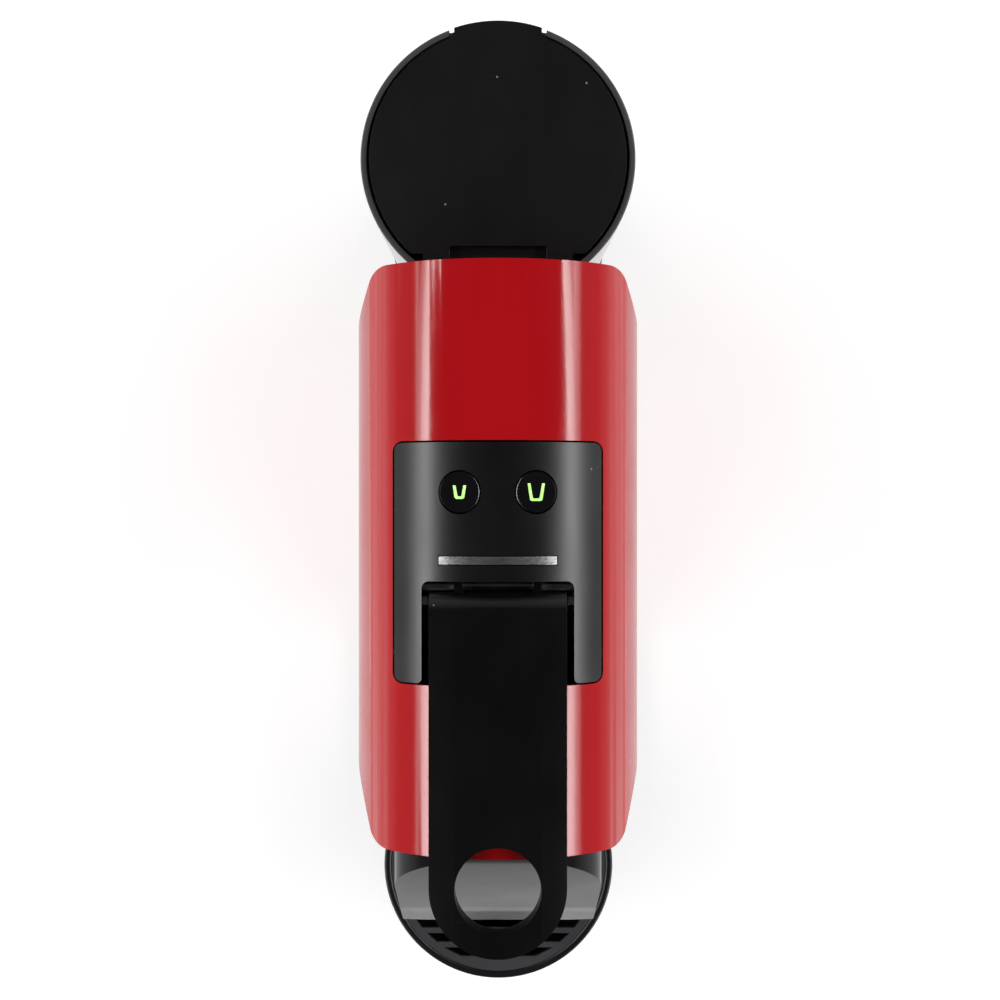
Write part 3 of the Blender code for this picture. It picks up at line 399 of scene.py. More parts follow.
# ---------------------------------------------------------------- node graphs
class Signal:
    """A value in a node graph. The usual signs between two values make the nodes that work them out."""

    def __init__(self, graph: "Graph", socket: bpy.types.NodeSocket) -> None:
        """Hold one output of a node.

        Args:
            graph: The graph it belongs to.
            socket: The output.
        """
        self.graph, self.socket = graph, socket

    def _maths(self, operation: str, first: "Signal | float", *others: "Signal | float") -> "Signal":
        """Return one step of number maths."""
        values = dict(enumerate((first, *others)))
        return self.graph.add("ShaderNodeMath", {"operation": operation}, values)

    def __add__(self, other: "Signal | float") -> "Signal":
        """Return the sum."""
        return self._maths("ADD", self, other)

    def __sub__(self, other: "Signal | float") -> "Signal":
        """Return the difference."""
        return self._maths("SUBTRACT", self, other)

    def __mul__(self, other: "Signal | float") -> "Signal":
        """Return the product."""
        return self._maths("MULTIPLY", self, other)

    def __gt__(self, other: "Signal | float") -> "Signal":
        """Return 1 where this is greater, and 0 elsewhere."""
        return self._maths("GREATER_THAN", self, other)

    def wave(self) -> "Signal":
        """Return its sine, from 0 to 1."""
        return self._maths("SINE", self) * 0.5 + 0.5

    def ramp(self, low: float, high: float, start: float = 0.0, end: float = 1.0) -> "Signal":
        """Return a smooth climb from start to end as this goes from low to high."""
        return self.graph.add("ShaderNodeMapRange", {"interpolation_type": "SMOOTHSTEP", "clamp": True},
                              {0: self, 1: low, 2: high, 3: start, 4: end})

    def stretched(self, x: float, y: float, z: float) -> "Signal":
        """Return this vector with each of its parts multiplied."""
        return self.graph.add("ShaderNodeVectorMath", {"operation": "MULTIPLY"}, {0: self, 1: (x, y, z)})

    def along(self, axis: int) -> "Signal":
        """Return one part of this vector."""
        return self.graph.add("ShaderNodeSeparateXYZ", {}, {0: self}, axis)


class Graph:
    """A material's node graph."""

    def __init__(self, name: str) -> None:
        """Start a material with only its shader and output.

        Args:
            name: The material's name.
        """
        self.material = bpy.data.materials.new(name)
        self.material.use_nodes = True
        self.tree = self.material.node_tree
        self.shader = self.tree.nodes["Principled BSDF"]

    def add(self, kind: str, settings: dict, inputs: dict, output: int | str = 0) -> Signal:
        """Add one node.

        Args:
            kind: The node's type.
            settings: Its settings by name.
            inputs: Its inputs, by place or name, each a value or a signal.
            output: Which output is wanted.

        Returns:
            That output.
        """
        node = self.tree.nodes.new(kind)
        for key, value in settings.items():
            setattr(node, key, value)
        self.connect(node, inputs)
        return Signal(self, node.outputs[output])

    def connect(self, node: bpy.types.Node, inputs: dict) -> None:
        """Set or link a node's inputs."""
        for key, value in inputs.items():
            if isinstance(value, Signal):
                self.tree.links.new(value.socket, node.inputs[key])
            else:
                node.inputs[key].default_value = value

    def place(self) -> Signal:
        """Return the point's own place on the object."""
        return self.add("ShaderNodeTexCoord", {}, {}, "Object")

    def noise(self, place: Signal, size: float, detail: float = 2.0, rough: float = 0.5) -> Signal:
        """Return cloudy noise, from 0 to 1, whose clouds have this size in metres."""
        inputs = {"Vector": place, "Scale": 1 / size, "Detail": detail, "Roughness": rough}
        return self.add("ShaderNodeTexNoise", {}, inputs, 0)

    def cells(self, place: Signal, size: float, feature: str = "F1") -> Signal:
        """Return the distance to the nearest of many scattered points, in cell widths."""
        return self.add("ShaderNodeTexVoronoi", {"feature": feature}, {"Vector": place, "Scale": 1 / size}, 0)

    def specks(self, place: Signal, apart: float, share: float) -> Signal:
        """Return small round specks, this far apart, of which only some show."""
        near = self.cells(place, apart).ramp(0.05, 0.12, 1.0, 0.0)
        return near * (self.noise(place, apart * 3.0, 0.0) > 1 - share)

    def mix(self, factor: Signal | float, first: Signal | tuple, second: Signal | tuple) -> Signal:
        """Return a colour between two colours."""
        full = [c if isinstance(c, Signal) else (*c, 1.0) for c in (first, second)]
        return self.add("ShaderNodeMix", {"data_type": "RGBA"}, {0: factor, 6: full[0], 7: full[1]}, 2)

    def bump(self, height: Signal, depth: float) -> Signal:
        """Return the normal of a surface with this relief, in metres."""
        return self.add("ShaderNodeBump", {}, {"Height": height, "Distance": depth, "Strength": 1.0})

    def dress(self, **inputs: Signal | float | tuple) -> bpy.types.Material:
        """Set the shader's inputs, whose names are written with _ for each space.

        Returns:
            The material.
        """
        self.connect(self.shader, {key.replace("_", " "): value for key, value in inputs.items()})
        return self.material


# ---------------------------------------------------------------- finishes
Colour = tuple[float, float, float]


@dataclass(frozen=True)
class Finish:
    """A finish, which makes its material once and shares it."""

    slot: str
    colour: Colour
    second: Colour
    roughness: float
    name: str = ""

    def material(self) -> bpy.types.Material:
        """Return the finish's material."""
        title = (self.name or self.slot) + "_finish"
        return bpy.data.materials.get(title) or self.paint(Graph(title))

    def paint(self, graph: Graph) -> bpy.types.Material:
        """Build the graph.

        Args:
            graph: The graph to fill.

        Returns:
            The material.
        """
        raise NotImplementedError


@dataclass(frozen=True)
class Moulded(Finish):
    """Moulded plastic or rubber: grain from the mould, faint flow clouds, handling marks and dust."""

    grain: float = 0.0006
    depth: float = 0.000015
    spread: float = 0.06
    dust: float = 0.25
    dust_colour: Colour = (0.30, 0.29, 0.28)
    coat: float = 0.0
    coat_roughness: float = 0.04
    specular: float = 0.5

    def paint(self, graph: Graph) -> bpy.types.Material:
        """Build the graph of a moulded surface."""
        place = graph.place()
        flow = graph.noise(place.stretched(1.0, 0.35, 1.0), 0.03, 3.0).ramp(0.3, 0.7)
        smear = graph.noise(place.stretched(1.0, 0.5, 1.0), 0.012, 4.0, 0.6)
        grain = graph.noise(place, self.grain, 2.0)
        pits = graph.cells(place, self.grain * 1.7)
        specks = graph.specks(place, 0.0035, self.dust)
        colour = graph.mix(specks * 0.6, graph.mix(flow, self.colour, self.second), self.dust_colour)
        rough = (smear - 0.5) * self.spread * 2 + self.roughness + specks * 0.3
        return graph.dress(Base_Color=colour, Roughness=rough,
                           Normal=graph.bump(grain * 0.7 + pits * 0.3 + specks * 0.4, self.depth),
                           Coat_Weight=self.coat, Coat_Roughness=self.coat_roughness,
                           Specular_IOR_Level=self.specular)


@dataclass(frozen=True)
class Lacquered(Finish):
    """High gloss with a deep colour: a hardly visible orange peel, hairline swirls and specks of dust."""

    peel: float = 0.004
    depth: float = 0.00001
    coat: float = 0.5
    swirl: float = 0.03
    specular: float = 0.5

    def paint(self, graph: Graph) -> bpy.types.Material:
        """Build the graph of a polished surface."""
        place = graph.place()
        flow = graph.noise(place.stretched(1.0, 0.3, 1.0), 0.05, 3.0).ramp(0.3, 0.7)
        peel = graph.noise(place, self.peel, 1.0)
        hair = graph.noise(place.stretched(1.0, 0.08, 1.0), 0.0007, 2.0, 0.6).ramp(0.62, 0.74)
        cloth = graph.noise(place, 0.02, 4.0, 0.65).ramp(0.45, 0.75)
        specks = graph.specks(place, 0.006, 0.2)
        colour = graph.mix(flow, self.colour, self.second)
        dusty = graph.mix(specks * 0.35, colour, (0.55, 0.42, 0.40))
        return graph.dress(Base_Color=dusty, Normal=graph.bump(peel, self.depth), Coat_Weight=self.coat,
                           Roughness=hair * self.swirl + cloth * self.swirl + self.roughness + specks * 0.3,
                           Coat_Roughness=0.03, Coat_IOR=1.5, Specular_IOR_Level=self.specular)


@dataclass(frozen=True)
class Clear(Finish):
    """Smoky clear plastic with faint flow lines, a haze of lime low down and fine scratches."""

    through: float = 0.75
    lime_height: float = 0.03

    def paint(self, graph: Graph) -> bpy.types.Material:
        """Build the graph of a tinted clear wall."""
        place = graph.place()
        flow = graph.noise(place.stretched(1.0, 1.0, 0.2), 0.02, 3.0)
        scratches = graph.noise(place.stretched(0.15, 1.0, 1.0), 0.0012, 2.0, 0.6).ramp(0.64, 0.72)
        lime = place.along(2).ramp(self.lime_height, self.lime_height * 2, 0.5, 0.0) * flow
        drops = graph.cells(place, 0.004).ramp(0.1, 0.3, 1.0, 0.0) * lime
        colour = graph.mix(lime + drops, graph.mix(flow, self.colour, self.second), (0.45, 0.46, 0.46))
        return graph.dress(Base_Color=colour, Roughness=scratches * 0.15 + lime * 0.3 + self.roughness,
                           Transmission_Weight=self.through, IOR=1.5, Normal=graph.bump(flow, 0.00003))


@dataclass(frozen=True)
class Metal(Finish):
    """Metal with brushing along one axis, or a cast skin where it is stretched on none."""

    brushing: tuple[float, float, float] = (0.04, 1.0, 1.0)
    grain: float = 0.0004
    depth: float = 0.00001
    stain: Colour = (0.28, 0.25, 0.22)
    metallic: float = 1.0

    def paint(self, graph: Graph) -> bpy.types.Material:
        """Build the graph of a metal surface."""
        place = graph.place()
        brush = graph.noise(place.stretched(*self.brushing), self.grain, 3.0, 0.6)
        cloud = graph.noise(place, 0.01, 3.0, 0.6)
        stains = graph.noise(place, 0.004, 4.0, 0.7).ramp(0.64, 0.8)
        nicks = graph.cells(place, 0.003, "DISTANCE_TO_EDGE").ramp(0.0, 0.03, 1.0, 0.0) * cloud.ramp(0.5, 0.7)
        colour = graph.mix(stains * 0.5, graph.mix(cloud, self.colour, self.second), self.stain)
        return graph.dress(Base_Color=colour, Metallic=self.metallic,
                           Roughness=brush * 0.18 + cloud * 0.08 + stains * 0.15 + self.roughness,
                           Normal=graph.bump(brush + nicks * 0.3, self.depth))


@dataclass(frozen=True)
class Lit(Finish):
    """A frosted light guide, brighter in the middle of its stroke than at the ends."""

    strength: float = 1.0

    def paint(self, graph: Graph) -> bpy.types.Material:
        """Build the graph of a lit guide."""
        place = graph.place()
        frost = graph.noise(place, 0.0004, 3.0)
        pool = graph.noise(place, 0.003, 1.0).ramp(0.3, 0.7)
        colour = graph.mix(pool, self.colour, self.second)
        return graph.dress(Base_Color=colour, Emission_Color=graph.mix(frost * 0.3, colour, (0.7, 0.95, 0.5)),
                           Emission_Strength=self.strength, Roughness=frost * 0.2 + self.roughness,
                           Normal=graph.bump(frost, 0.00002))


@dataclass(frozen=True)
class Board(Finish):
    """A circuit board: solder mask over copper tracks, with tinned pads."""

    def paint(self, graph: Graph) -> bpy.types.Material:
        """Build the graph of a board."""
        place = graph.place()
        streets = graph.cells(place.stretched(1.0, 0.5, 0.7), 0.004, "DISTANCE_TO_EDGE")
        tracks = streets.ramp(0.03, 0.07, 1.0, 0.0)
        pads = graph.cells(place, 0.003).ramp(0.16, 0.2, 1.0, 0.0)
        weave = graph.noise(place, 0.0006, 2.0)
        colour = graph.mix(pads, graph.mix(tracks, self.colour, self.second), (0.62, 0.61, 0.58))
        return graph.dress(Base_Color=colour, Metallic=pads,
                           Roughness=weave * 0.2 + self.roughness - pads * 0.1,
                           Normal=graph.bump(tracks * 0.6 + pads + weave * 0.1, 0.00005))


@dataclass(frozen=True)
class Taped(Finish):
    """A coil under overlapping turns of tape, in a steel yoke."""

    turn: float = 0.006

    def paint(self, graph: Graph) -> bpy.types.Material:
        """Build the graph of a taped coil."""
        place = graph.place()
        wobble = graph.noise(place, 0.01, 2.0)
        turns = ((place.along(2) + wobble * 0.0006) * (2 * pi / self.turn)).wave()
        threads = graph.noise(place.stretched(0.1, 0.1, 1.0), 0.0003, 1.0)
        colour = graph.mix(turns.ramp(0.75, 0.95), self.colour, self.second)
        return graph.dress(Base_Color=colour, Roughness=threads * 0.15 + wobble * 0.1 + self.roughness,
                           Normal=graph.bump(turns.ramp(0.85, 1.0) + threads * 0.2, 0.00015))


GLOSS_RED = Lacquered("red_shell", (0.385, 0.0045, 0.0075), (0.40, 0.0055, 0.0085), 0.12,
                      coat=0.0, specular=0.4)
SATIN_BLACK = Moulded("satin_black", (0.003, 0.003, 0.0035), (0.005, 0.005, 0.0055), 0.32,
                      depth=0.000002)
SOFT_BLACK = Moulded("satin_black", (0.0008, 0.0008, 0.0012), (0.0016, 0.0016, 0.002), 0.31, "lever_black",
                     grain=0.0004, depth=0.000002)
LID_BLACK = Moulded("satin_black", (0.003, 0.003, 0.0035), (0.005, 0.005, 0.0055), 0.36, "lid_black",
                    depth=0.000002)
GLOSS_BLACK = Lacquered("gloss_black", (0.003, 0.003, 0.004), (0.005, 0.005, 0.006), 0.12, depth=0.000006)
NOSE_BLACK = Moulded("gloss_black", (0.006, 0.006, 0.007), (0.009, 0.009, 0.010), 0.22, "nose_black",
                     depth=0.000003, dust=0.1, specular=0.06)
DARK_GREY = Moulded("dark_grey", (0.042, 0.042, 0.044), (0.050, 0.050, 0.052), 0.50, grain=0.0008,
                    depth=0.00003)
# A darker copy of the dark grey for the slatted grid: its colour is lowered as painted shade on the grid.
SHADED_GRID_GREY = Moulded("dark_grey", (0.026, 0.027, 0.029), (0.034, 0.035, 0.037), 0.42, "grid_grey_painted_shade",
                    depth=0.000003)
SMOKY = Clear("smoky_clear", (0.060, 0.061, 0.063), (0.085, 0.086, 0.088), 0.10, through=0.2)
SILVER = Metal("silver_trim", (0.60, 0.60, 0.61), (0.68, 0.68, 0.69), 0.16, stain=(0.5, 0.5, 0.5))
GREEN_LIGHT = Lit("light_guide", (0.30, 0.62, 0.14), (0.38, 0.70, 0.19), 0.35)
STEEL = Metal("steel", (0.50, 0.51, 0.52), (0.60, 0.61, 0.62), 0.18)
ALLOY = Metal("cast_alloy", (0.52, 0.52, 0.53), (0.63, 0.63, 0.64), 0.32, brushing=(1.0, 1.0, 1.0),
              grain=0.0009, depth=0.00006)
RUBBER = Moulded("rubber", (0.016, 0.016, 0.016), (0.024, 0.024, 0.024), 0.74, depth=0.00004)
SILICONE = Moulded("silicone", (0.66, 0.66, 0.63), (0.76, 0.76, 0.74), 0.40, grain=0.0012)
NYLON = Moulded("white_plastic", (0.72, 0.72, 0.69), (0.80, 0.80, 0.78), 0.42, depth=0.00002)
BOARD = Board("board_green", (0.022, 0.14, 0.055), (0.045, 0.23, 0.09), 0.34)
COIL = Taped("coil_wrap", (0.06, 0.08, 0.14), (0.14, 0.16, 0.22), 0.5)


# ---------------------------------------------------------------- sub-assemblies
ARCH_STEPS = 120          # stretches around the shell's arch


@dataclass
class Casing:
    """The red arched shell with its flat ends, the black nose in front of it, and the plinth below."""

    wall: float = 2.2 * MM
    end_half: float = 36.0 * MM          # half width the tapered sides run to
    taper_rear: float = 68.7 * MM        # where the sides start to taper
    taper_front: float = -61.0 * MM
    corner: float = 6.0 * MM
    column_front: float = -36.5 * MM
    edge: float = 1.8 * MM
    nose_floor: float = 106.0 * MM
    rear_radius: float = 41.0 * MM       # the plinth's round rear end, under the tank
    shell: Box = field(default_factory=lambda: Box.of("shell"))
    nose: Box = field(default_factory=lambda: Box.of("front_nose"))
    plinth: Box = field(default_factory=lambda: Box.of("base"))
    panel: Box = field(default_factory=lambda: Box.of("control_panel"))

    @property
    def radius(self) -> float:
        """Return the arch's outer radius."""
        return self.shell.size.x / 2

    @property
    def centre(self) -> float:
        """Return the height of the arch's centre line."""
        return self.shell.hi.z - self.radius

    def arch(self, radius: float, bottom: float) -> Outline:
        """Return a half circle on straight legs.

        Args:
            radius: The arch's radius.
            bottom: Where the legs end.

        Returns:
            The outline, seen from the front.
        """
        return [(-radius, bottom), (radius, bottom)] + arc((0, self.centre), radius, 0, 180, ARCH_STEPS)

    def plan(self, inset: float = 0.0) -> Outline:
        """Return the shell's outline from above, or one inside it."""
        side, end, corner = self.radius - inset, self.end_half - inset, self.corner - inset
        front, rear = self.shell.lo.y + inset, self.shell.hi.y - inset
        half = [(side, self.taper_front, 0.010), (side, self.taper_rear, 0.010), (end, rear, corner)]
        front_corner = (end, front, corner)
        mirrored = [(-x, y, r) for x, y, r in reversed(half)]
        return rounded([*half, *mirrored, (-end, front, corner), front_corner], 10)

    def build(self) -> None:
        """Build and dress the casing."""
        self.build_shell()
        self.build_nose()
        self.build_plinth()
        self.build_feet()
        for node, finish in (("rear_cover", SATIN_BLACK), ("head_floor", SATIN_BLACK),
                             ("capsule_chute", DARK_GREY), ("cord_gland", RUBBER)):
            Solid.of_node(node).piece(node + "_fine", finish, "machine", node, edge=0.3 * MM)
        for node in ("base_screw_1", "base_screw_2"):
            self.build_screw(node)

    def build_shell(self) -> None:
        """Build the red arch, open below, cut back under the head and open for its panel and nose."""
        front, rear = self.shell.lo.y, self.shell.hi.y
        over = 10 * MM
        shell = Solid.prism(self.arch(self.radius, self.shell.lo.z), front - over, rear + over, Axis.Y)
        shell.with_others(Cut.KEEP, Solid.prism(self.plan(), 0.0, ABOVE))
        top = self.shell.lo.z + 1 * MM
        shell.softened(self.edge, 5, 50, lambda p: p.z > top)
        inner = Solid.prism(self.arch(self.radius - self.wall, -over), front, rear, Axis.Y)
        inner.with_others(Cut.KEEP, Solid.prism(self.plan(self.wall), -0.02, ABOVE))
        under_head = [(-0.1, 0.0), (self.column_front, 0.0), (self.column_front, 0.1),
                      (-0.05, self.nose_floor - 3 * MM), (-0.1, self.nose_floor + 6 * MM)]
        gap = 0.5 * MM
        panel, slot_half = self.panel, 18.6 * MM
        opening = rectangle((panel.lo.x - gap, panel.lo.y - gap),
                            (panel.hi.x + gap, panel.hi.y + gap), 3 * MM)
        slot = rectangle((-slot_half, -62 * MM), (slot_half, panel.lo.y + 2 * MM), 1 * MM)
        back = rectangle((-29.3 * MM, 0.0), (29.3 * MM, 150.3 * MM), 4 * MM)
        shell.less(inner, Solid.prism(under_head, -0.05, 0.05, Axis.X),
                   Solid.prism(opening, self.centre + over, ABOVE),
                   Solid.prism(slot, self.centre + 2 * over, ABOVE),
                   Solid.prism(self.arch(self.nose.hi.x + 0.3 * MM, -over),
                               front - over, front + over, Axis.Y),
                   Solid.prism(back, rear - over, rear + over, Axis.Y))
        shell.piece("shell_fine", GLOSS_RED, "machine", "shell", edge=0.25 * MM, segments=3)

    def build_nose(self) -> None:
        """Build the nose: an arch cut by a slope that runs down and forward to a lip."""
        floor, front = self.nose_floor, self.nose.lo.y
        slope = [(-65.5, 200), (-65.5, 106), (-120.5, 106), (-121.5, 111.5), (-112.5, 131),
                 (-86.8, 185.5), (-83.0, 189.2), (-80.0, 200)]
        hollow = [(-100, 200), (-50, 200), (-50, 108.2), (-118.5, 108.2), (-118.7, 112), (-110.2, 131),
                  (-84.5, 185.5), (-79, 190.5)]
        softness = (0, 0, 0.8, 2.0, 60, 12, 2.5, 0)
        outer = rounded([(y * MM, z * MM, r * MM) for (y, z), r in zip(slope, softness)], 8)
        inner = [(y * MM, z * MM) for y, z in hollow]
        bow = [(-0.05, -0.06), (0.05, -0.06)] + arc((0, 0.278), 0.4, -81, -99, 48)
        nose = Solid.prism(self.arch(self.nose.hi.x, 0.1), front - 4 * MM, self.nose.hi.y, Axis.Y)
        nose.with_others(Cut.KEEP, Solid.prism(outer, -0.05, 0.05, Axis.X))
        nose.with_others(Cut.KEEP, Solid.prism(bow, 0.05, ABOVE))
        nose.softened(1.5 * MM, 5, 32, lambda p: p.y < self.nose.hi.y - 2 * MM and p.z > floor + 1 * MM)
        room = Solid.prism(self.arch(self.nose.hi.x - 2 * MM, 0.09), -0.125, -0.05, Axis.Y)
        room.with_others(Cut.KEEP, Solid.prism(inner, -0.05, 0.05, Axis.X))
        hole = Solid.turned([(0, 0), (11.5 * MM, 0), (11.5 * MM, 30 * MM), (0, 30 * MM)], (0, -0.1, 0.09), 64)
        nose.less(room, hole)
        nose.piece("front_nose_fine", NOSE_BLACK, "machine", "front_nose", edge=0.25 * MM)

    def build_plinth(self) -> None:
        """Build the black plinth that carries the column and, behind it, the tank."""
        tank_y = self.plinth.hi.y - self.rear_radius
        rear = self.shell.hi.y
        start = chord_angle(rear - tank_y, self.rear_radius)
        corners = [(self.radius, self.column_front, 1.5 * MM), (self.radius, self.taper_rear, 10 * MM),
                   (self.end_half, rear, 6 * MM), (0.0, rear, 0.0), (0.0, self.column_front, 0.0)]
        right = rounded(corners, 10)[:-2]
        left = [(-x, y) for x, y in reversed(right)]
        outline = right + arc((0, tank_y), self.rear_radius, start, 180 - start, 120) + left
        plinth = Solid.prism(outline, self.plinth.lo.z, self.plinth.hi.z)
        plinth.softened(1.2 * MM, 4, 50)
        pocket = Solid.prism(rectangle((-35.5 * MM, -33 * MM), (35.5 * MM, 76 * MM), 3 * MM), 5 * MM, 30 * MM)
        channel = Solid.prism(rectangle((-6 * MM, 70 * MM), (6 * MM, 104 * MM), 1 * MM), 6.5 * MM, 30 * MM)
        bore = [(0, 0), (11.3 * MM, 0), (11.3 * MM, 20 * MM), (0, 20 * MM)]
        way = [(0, 0), (5.3 * MM, 0), (5.3 * MM, 21 * MM), (0, 21 * MM)]
        pilot = [(0, 0), (2.1 * MM, 0), (2.1 * MM, 20 * MM), (0, 20 * MM)]
        holes = [Solid.turned(pilot, (Box.of(n).middle.x, Box.of(n).middle.y, 4.2 * MM), 32)
                 for n in ("base_screw_1", "base_screw_2")]
        gland = Box.of("cord_gland").middle
        plinth.less(pocket, channel, Solid.turned(bore, (0, 112 * MM, 6.5 * MM), 64),
                    Solid.turned(way, (29 * MM, gland.y, gland.z), 48, (1, 0, 0)), *holes)
        plinth.piece("base_fine", SATIN_BLACK, "machine", "base", edge=0.2 * MM)

    def build_feet(self) -> None:
        """Build four round rubber feet with a grooved sole."""
        for index in range(1, 5):
            foot = Box.of(f"foot_{index}")
            r, h = foot.size.x / 2, foot.size.z
            sole = [(0, 0.25 * MM), (r * 0.35, 0.25 * MM), (r * 0.4, 0), (r * 0.62, 0), (r * 0.66, 0.3 * MM),
                    (r * 0.74, 0.3 * MM), (r * 0.78, 0), (r * 0.93, 0), (r, 0.4 * MM), (r, h), (0, h)]
            base = (foot.middle.x, foot.middle.y, foot.lo.z)
            Solid.turned(sole, base, 64).piece(f"foot_{index}_fine", RUBBER, "machine", f"foot_{index}",
                                               edge=0.1 * MM)

    def build_screw(self, node: str) -> None:
        """Build a screw with a domed head and a cross recess."""
        box = Box.of(node)
        r, h = box.size.x / 2, box.size.z
        profile = [(0, 0), (r * 0.5, 0), (r * 0.62, 0.4 * MM), (r * 0.62, h - 2.2 * MM), (r, h - 2 * MM),
                   (r, h - 0.6 * MM), (r * 0.7, h - 0.15 * MM), (0, h)]
        screw = Solid.turned(profile, (box.middle.x, box.middle.y, box.lo.z), 40)
        x, y, top = box.middle.x, box.middle.y, box.hi.z
        cross = [Solid.prism(rectangle((x - a, y - b), (x + a, y + b), 0.1 * MM, 3),
                             top - 1 * MM, top + 1 * MM)
                 for a, b in ((r * 0.6, r * 0.14), (r * 0.14, r * 0.6))]
        screw.less(*cross).piece(node + "_fine", STEEL, "machine", node, edge=0.05 * MM)


@dataclass
class ControlPanel:
    """The panel cut out of the arch, its two round buttons with lit cups, and the trim bar."""

    casing: Casing
    recess_half: float = 21.5 * MM
    recess_rear: float = -6.1 * MM
    button_x: float = 10.8 * MM
    button_y: float = 18.9 * MM
    button_radius: float = 5.9 * MM
    stroke: float = 0.7 * MM
    cups: tuple[tuple[str, int, float], ...] = (("small", -1, 1.0), ("large", 1, 1.3))

    def bar(self, half_width: float, half_depth: float, inner: float, outer: float) -> Solid:
        """Return a narrow bar across the panel that follows the arch."""
        spread = half_width / self.casing.radius
        outline = (arc((0, self.casing.centre), outer, 90 - degrees(spread), 90 + degrees(spread), 32)
                   + arc((0, self.casing.centre), inner, 90 + degrees(spread), 90 - degrees(spread), 32))
        return Solid.prism(outline, -half_depth - 0.2 * MM, half_depth - 0.2 * MM, Axis.Y)

    def cup(self, scale: float, grow: float = 0.0) -> Outline:
        """Return an open-topped cup drawn with an even stroke.

        Args:
            scale: Its size.
            grow: How much wider than the light guide it is.

        Returns:
            The outline.
        """
        top, bottom, half = 1.9 * MM * scale, 1.3 * MM * scale, 1.9 * MM * scale
        thin, soft = self.stroke + grow, 0.35 * MM
        return rounded([(-top - grow, half + grow, 0.1 * MM), (-bottom - grow, -half - grow, soft * 2),
                        (bottom + grow, -half - grow, soft * 2), (top + grow, half + grow, 0.1 * MM),
                        (top - thin, half + grow, 0.1 * MM), (bottom - thin, -half + thin, soft),
                        (-bottom + thin, -half + thin, soft), (-top + thin, half + grow, 0.1 * MM)], 5)

    def seat(self, side: int) -> Matrix:
        """Return the place of a button, square to the arch."""
        radius = self.casing.radius
        tilt = Matrix.Rotation(side * asin(self.button_x / radius), 4, "Y")
        height = self.casing.centre + sqrt(radius ** 2 - self.button_x ** 2)
        return Matrix.Translation((side * self.button_x, self.button_y, height)) @ tilt

    def build(self) -> None:
        """Build and dress the panel and what is on it."""
        panel, radius, centre = self.casing.panel, self.casing.radius, self.casing.centre
        inner = radius - self.casing.wall
        outline = arc((0, centre), radius, 40, 140, 96) + arc((0, centre), inner, 140, 40, 96)
        skin = Solid.prism(outline, panel.lo.y - 10 * MM, panel.hi.y + 10 * MM, Axis.Y)
        wide, soft = panel.hi.x, 2.2 * MM
        plan = rounded([(wide, panel.lo.y, soft), (wide, panel.hi.y, soft), (-wide, panel.hi.y, soft),
                        (-wide, panel.lo.y, soft), (-self.recess_half, panel.lo.y, 1.5 * MM),
                        (-self.recess_half, self.recess_rear, soft),
                        (self.recess_half, self.recess_rear, soft),
                        (self.recess_half, panel.lo.y, 1.5 * MM)], 8)
        skin.with_others(Cut.KEEP, Solid.prism(plan, 0.15, ABOVE))
        cutters = [self.bar(17.2 * MM, 1.4 * MM, radius - 0.8 * MM, radius + 5 * MM)]
        hole = [(0, -20 * MM), (self.button_radius + 0.3 * MM, -20 * MM),
                (self.button_radius + 0.3 * MM, 20 * MM), (0, 20 * MM)]
        for name, side, scale in self.cups:
            cutters.append(Solid.turned(hole, (0, 0, 0), 96).placed(self.seat(side)))
            self.build_button(name, side, scale)
        skin.less(*cutters)
        skin.piece("control_panel_fine", SATIN_BLACK, "machine", "control_panel", edge=0.35 * MM, segments=3)
        bar = self.bar(16.9 * MM, 1.1 * MM, radius - 0.5 * MM, radius + 0.3 * MM)
        bar.piece("trim_bar_fine", SILVER, "machine", "trim_bar", edge=0.15 * MM, segments=3)

    def build_button(self, name: str, side: int, scale: float) -> None:
        """Build one button with a shallow dish and the light guide set in it."""
        r, body = self.button_radius, f"button_{name}"
        dish = [(0, -5.2 * MM), (r, -5.2 * MM), (r, -0.7 * MM), (r * 0.985, -0.35 * MM),
                (r * 0.95, -0.15 * MM), (r * 0.9, -0.1 * MM), (r * 0.6, -0.17 * MM),
                (r * 0.3, -0.2 * MM), (0, -0.21 * MM)]
        button = Solid.turned(dish, (0, 0, 0), 128)
        button.less(Solid.prism(self.cup(scale, 0.12 * MM), -1 * MM, 10 * MM)).placed(self.seat(side))
        button.piece(f"button_{name}_fine", GLOSS_BLACK, body, f"button_{name}_cup", sharp=28)
        guide = Solid.prism(self.cup(scale), -0.9 * MM, -0.13 * MM).placed(self.seat(side))
        guide.piece(f"icon_{name}_fine", GREEN_LIGHT, body, f"icon_{name}", edge=0.08 * MM)


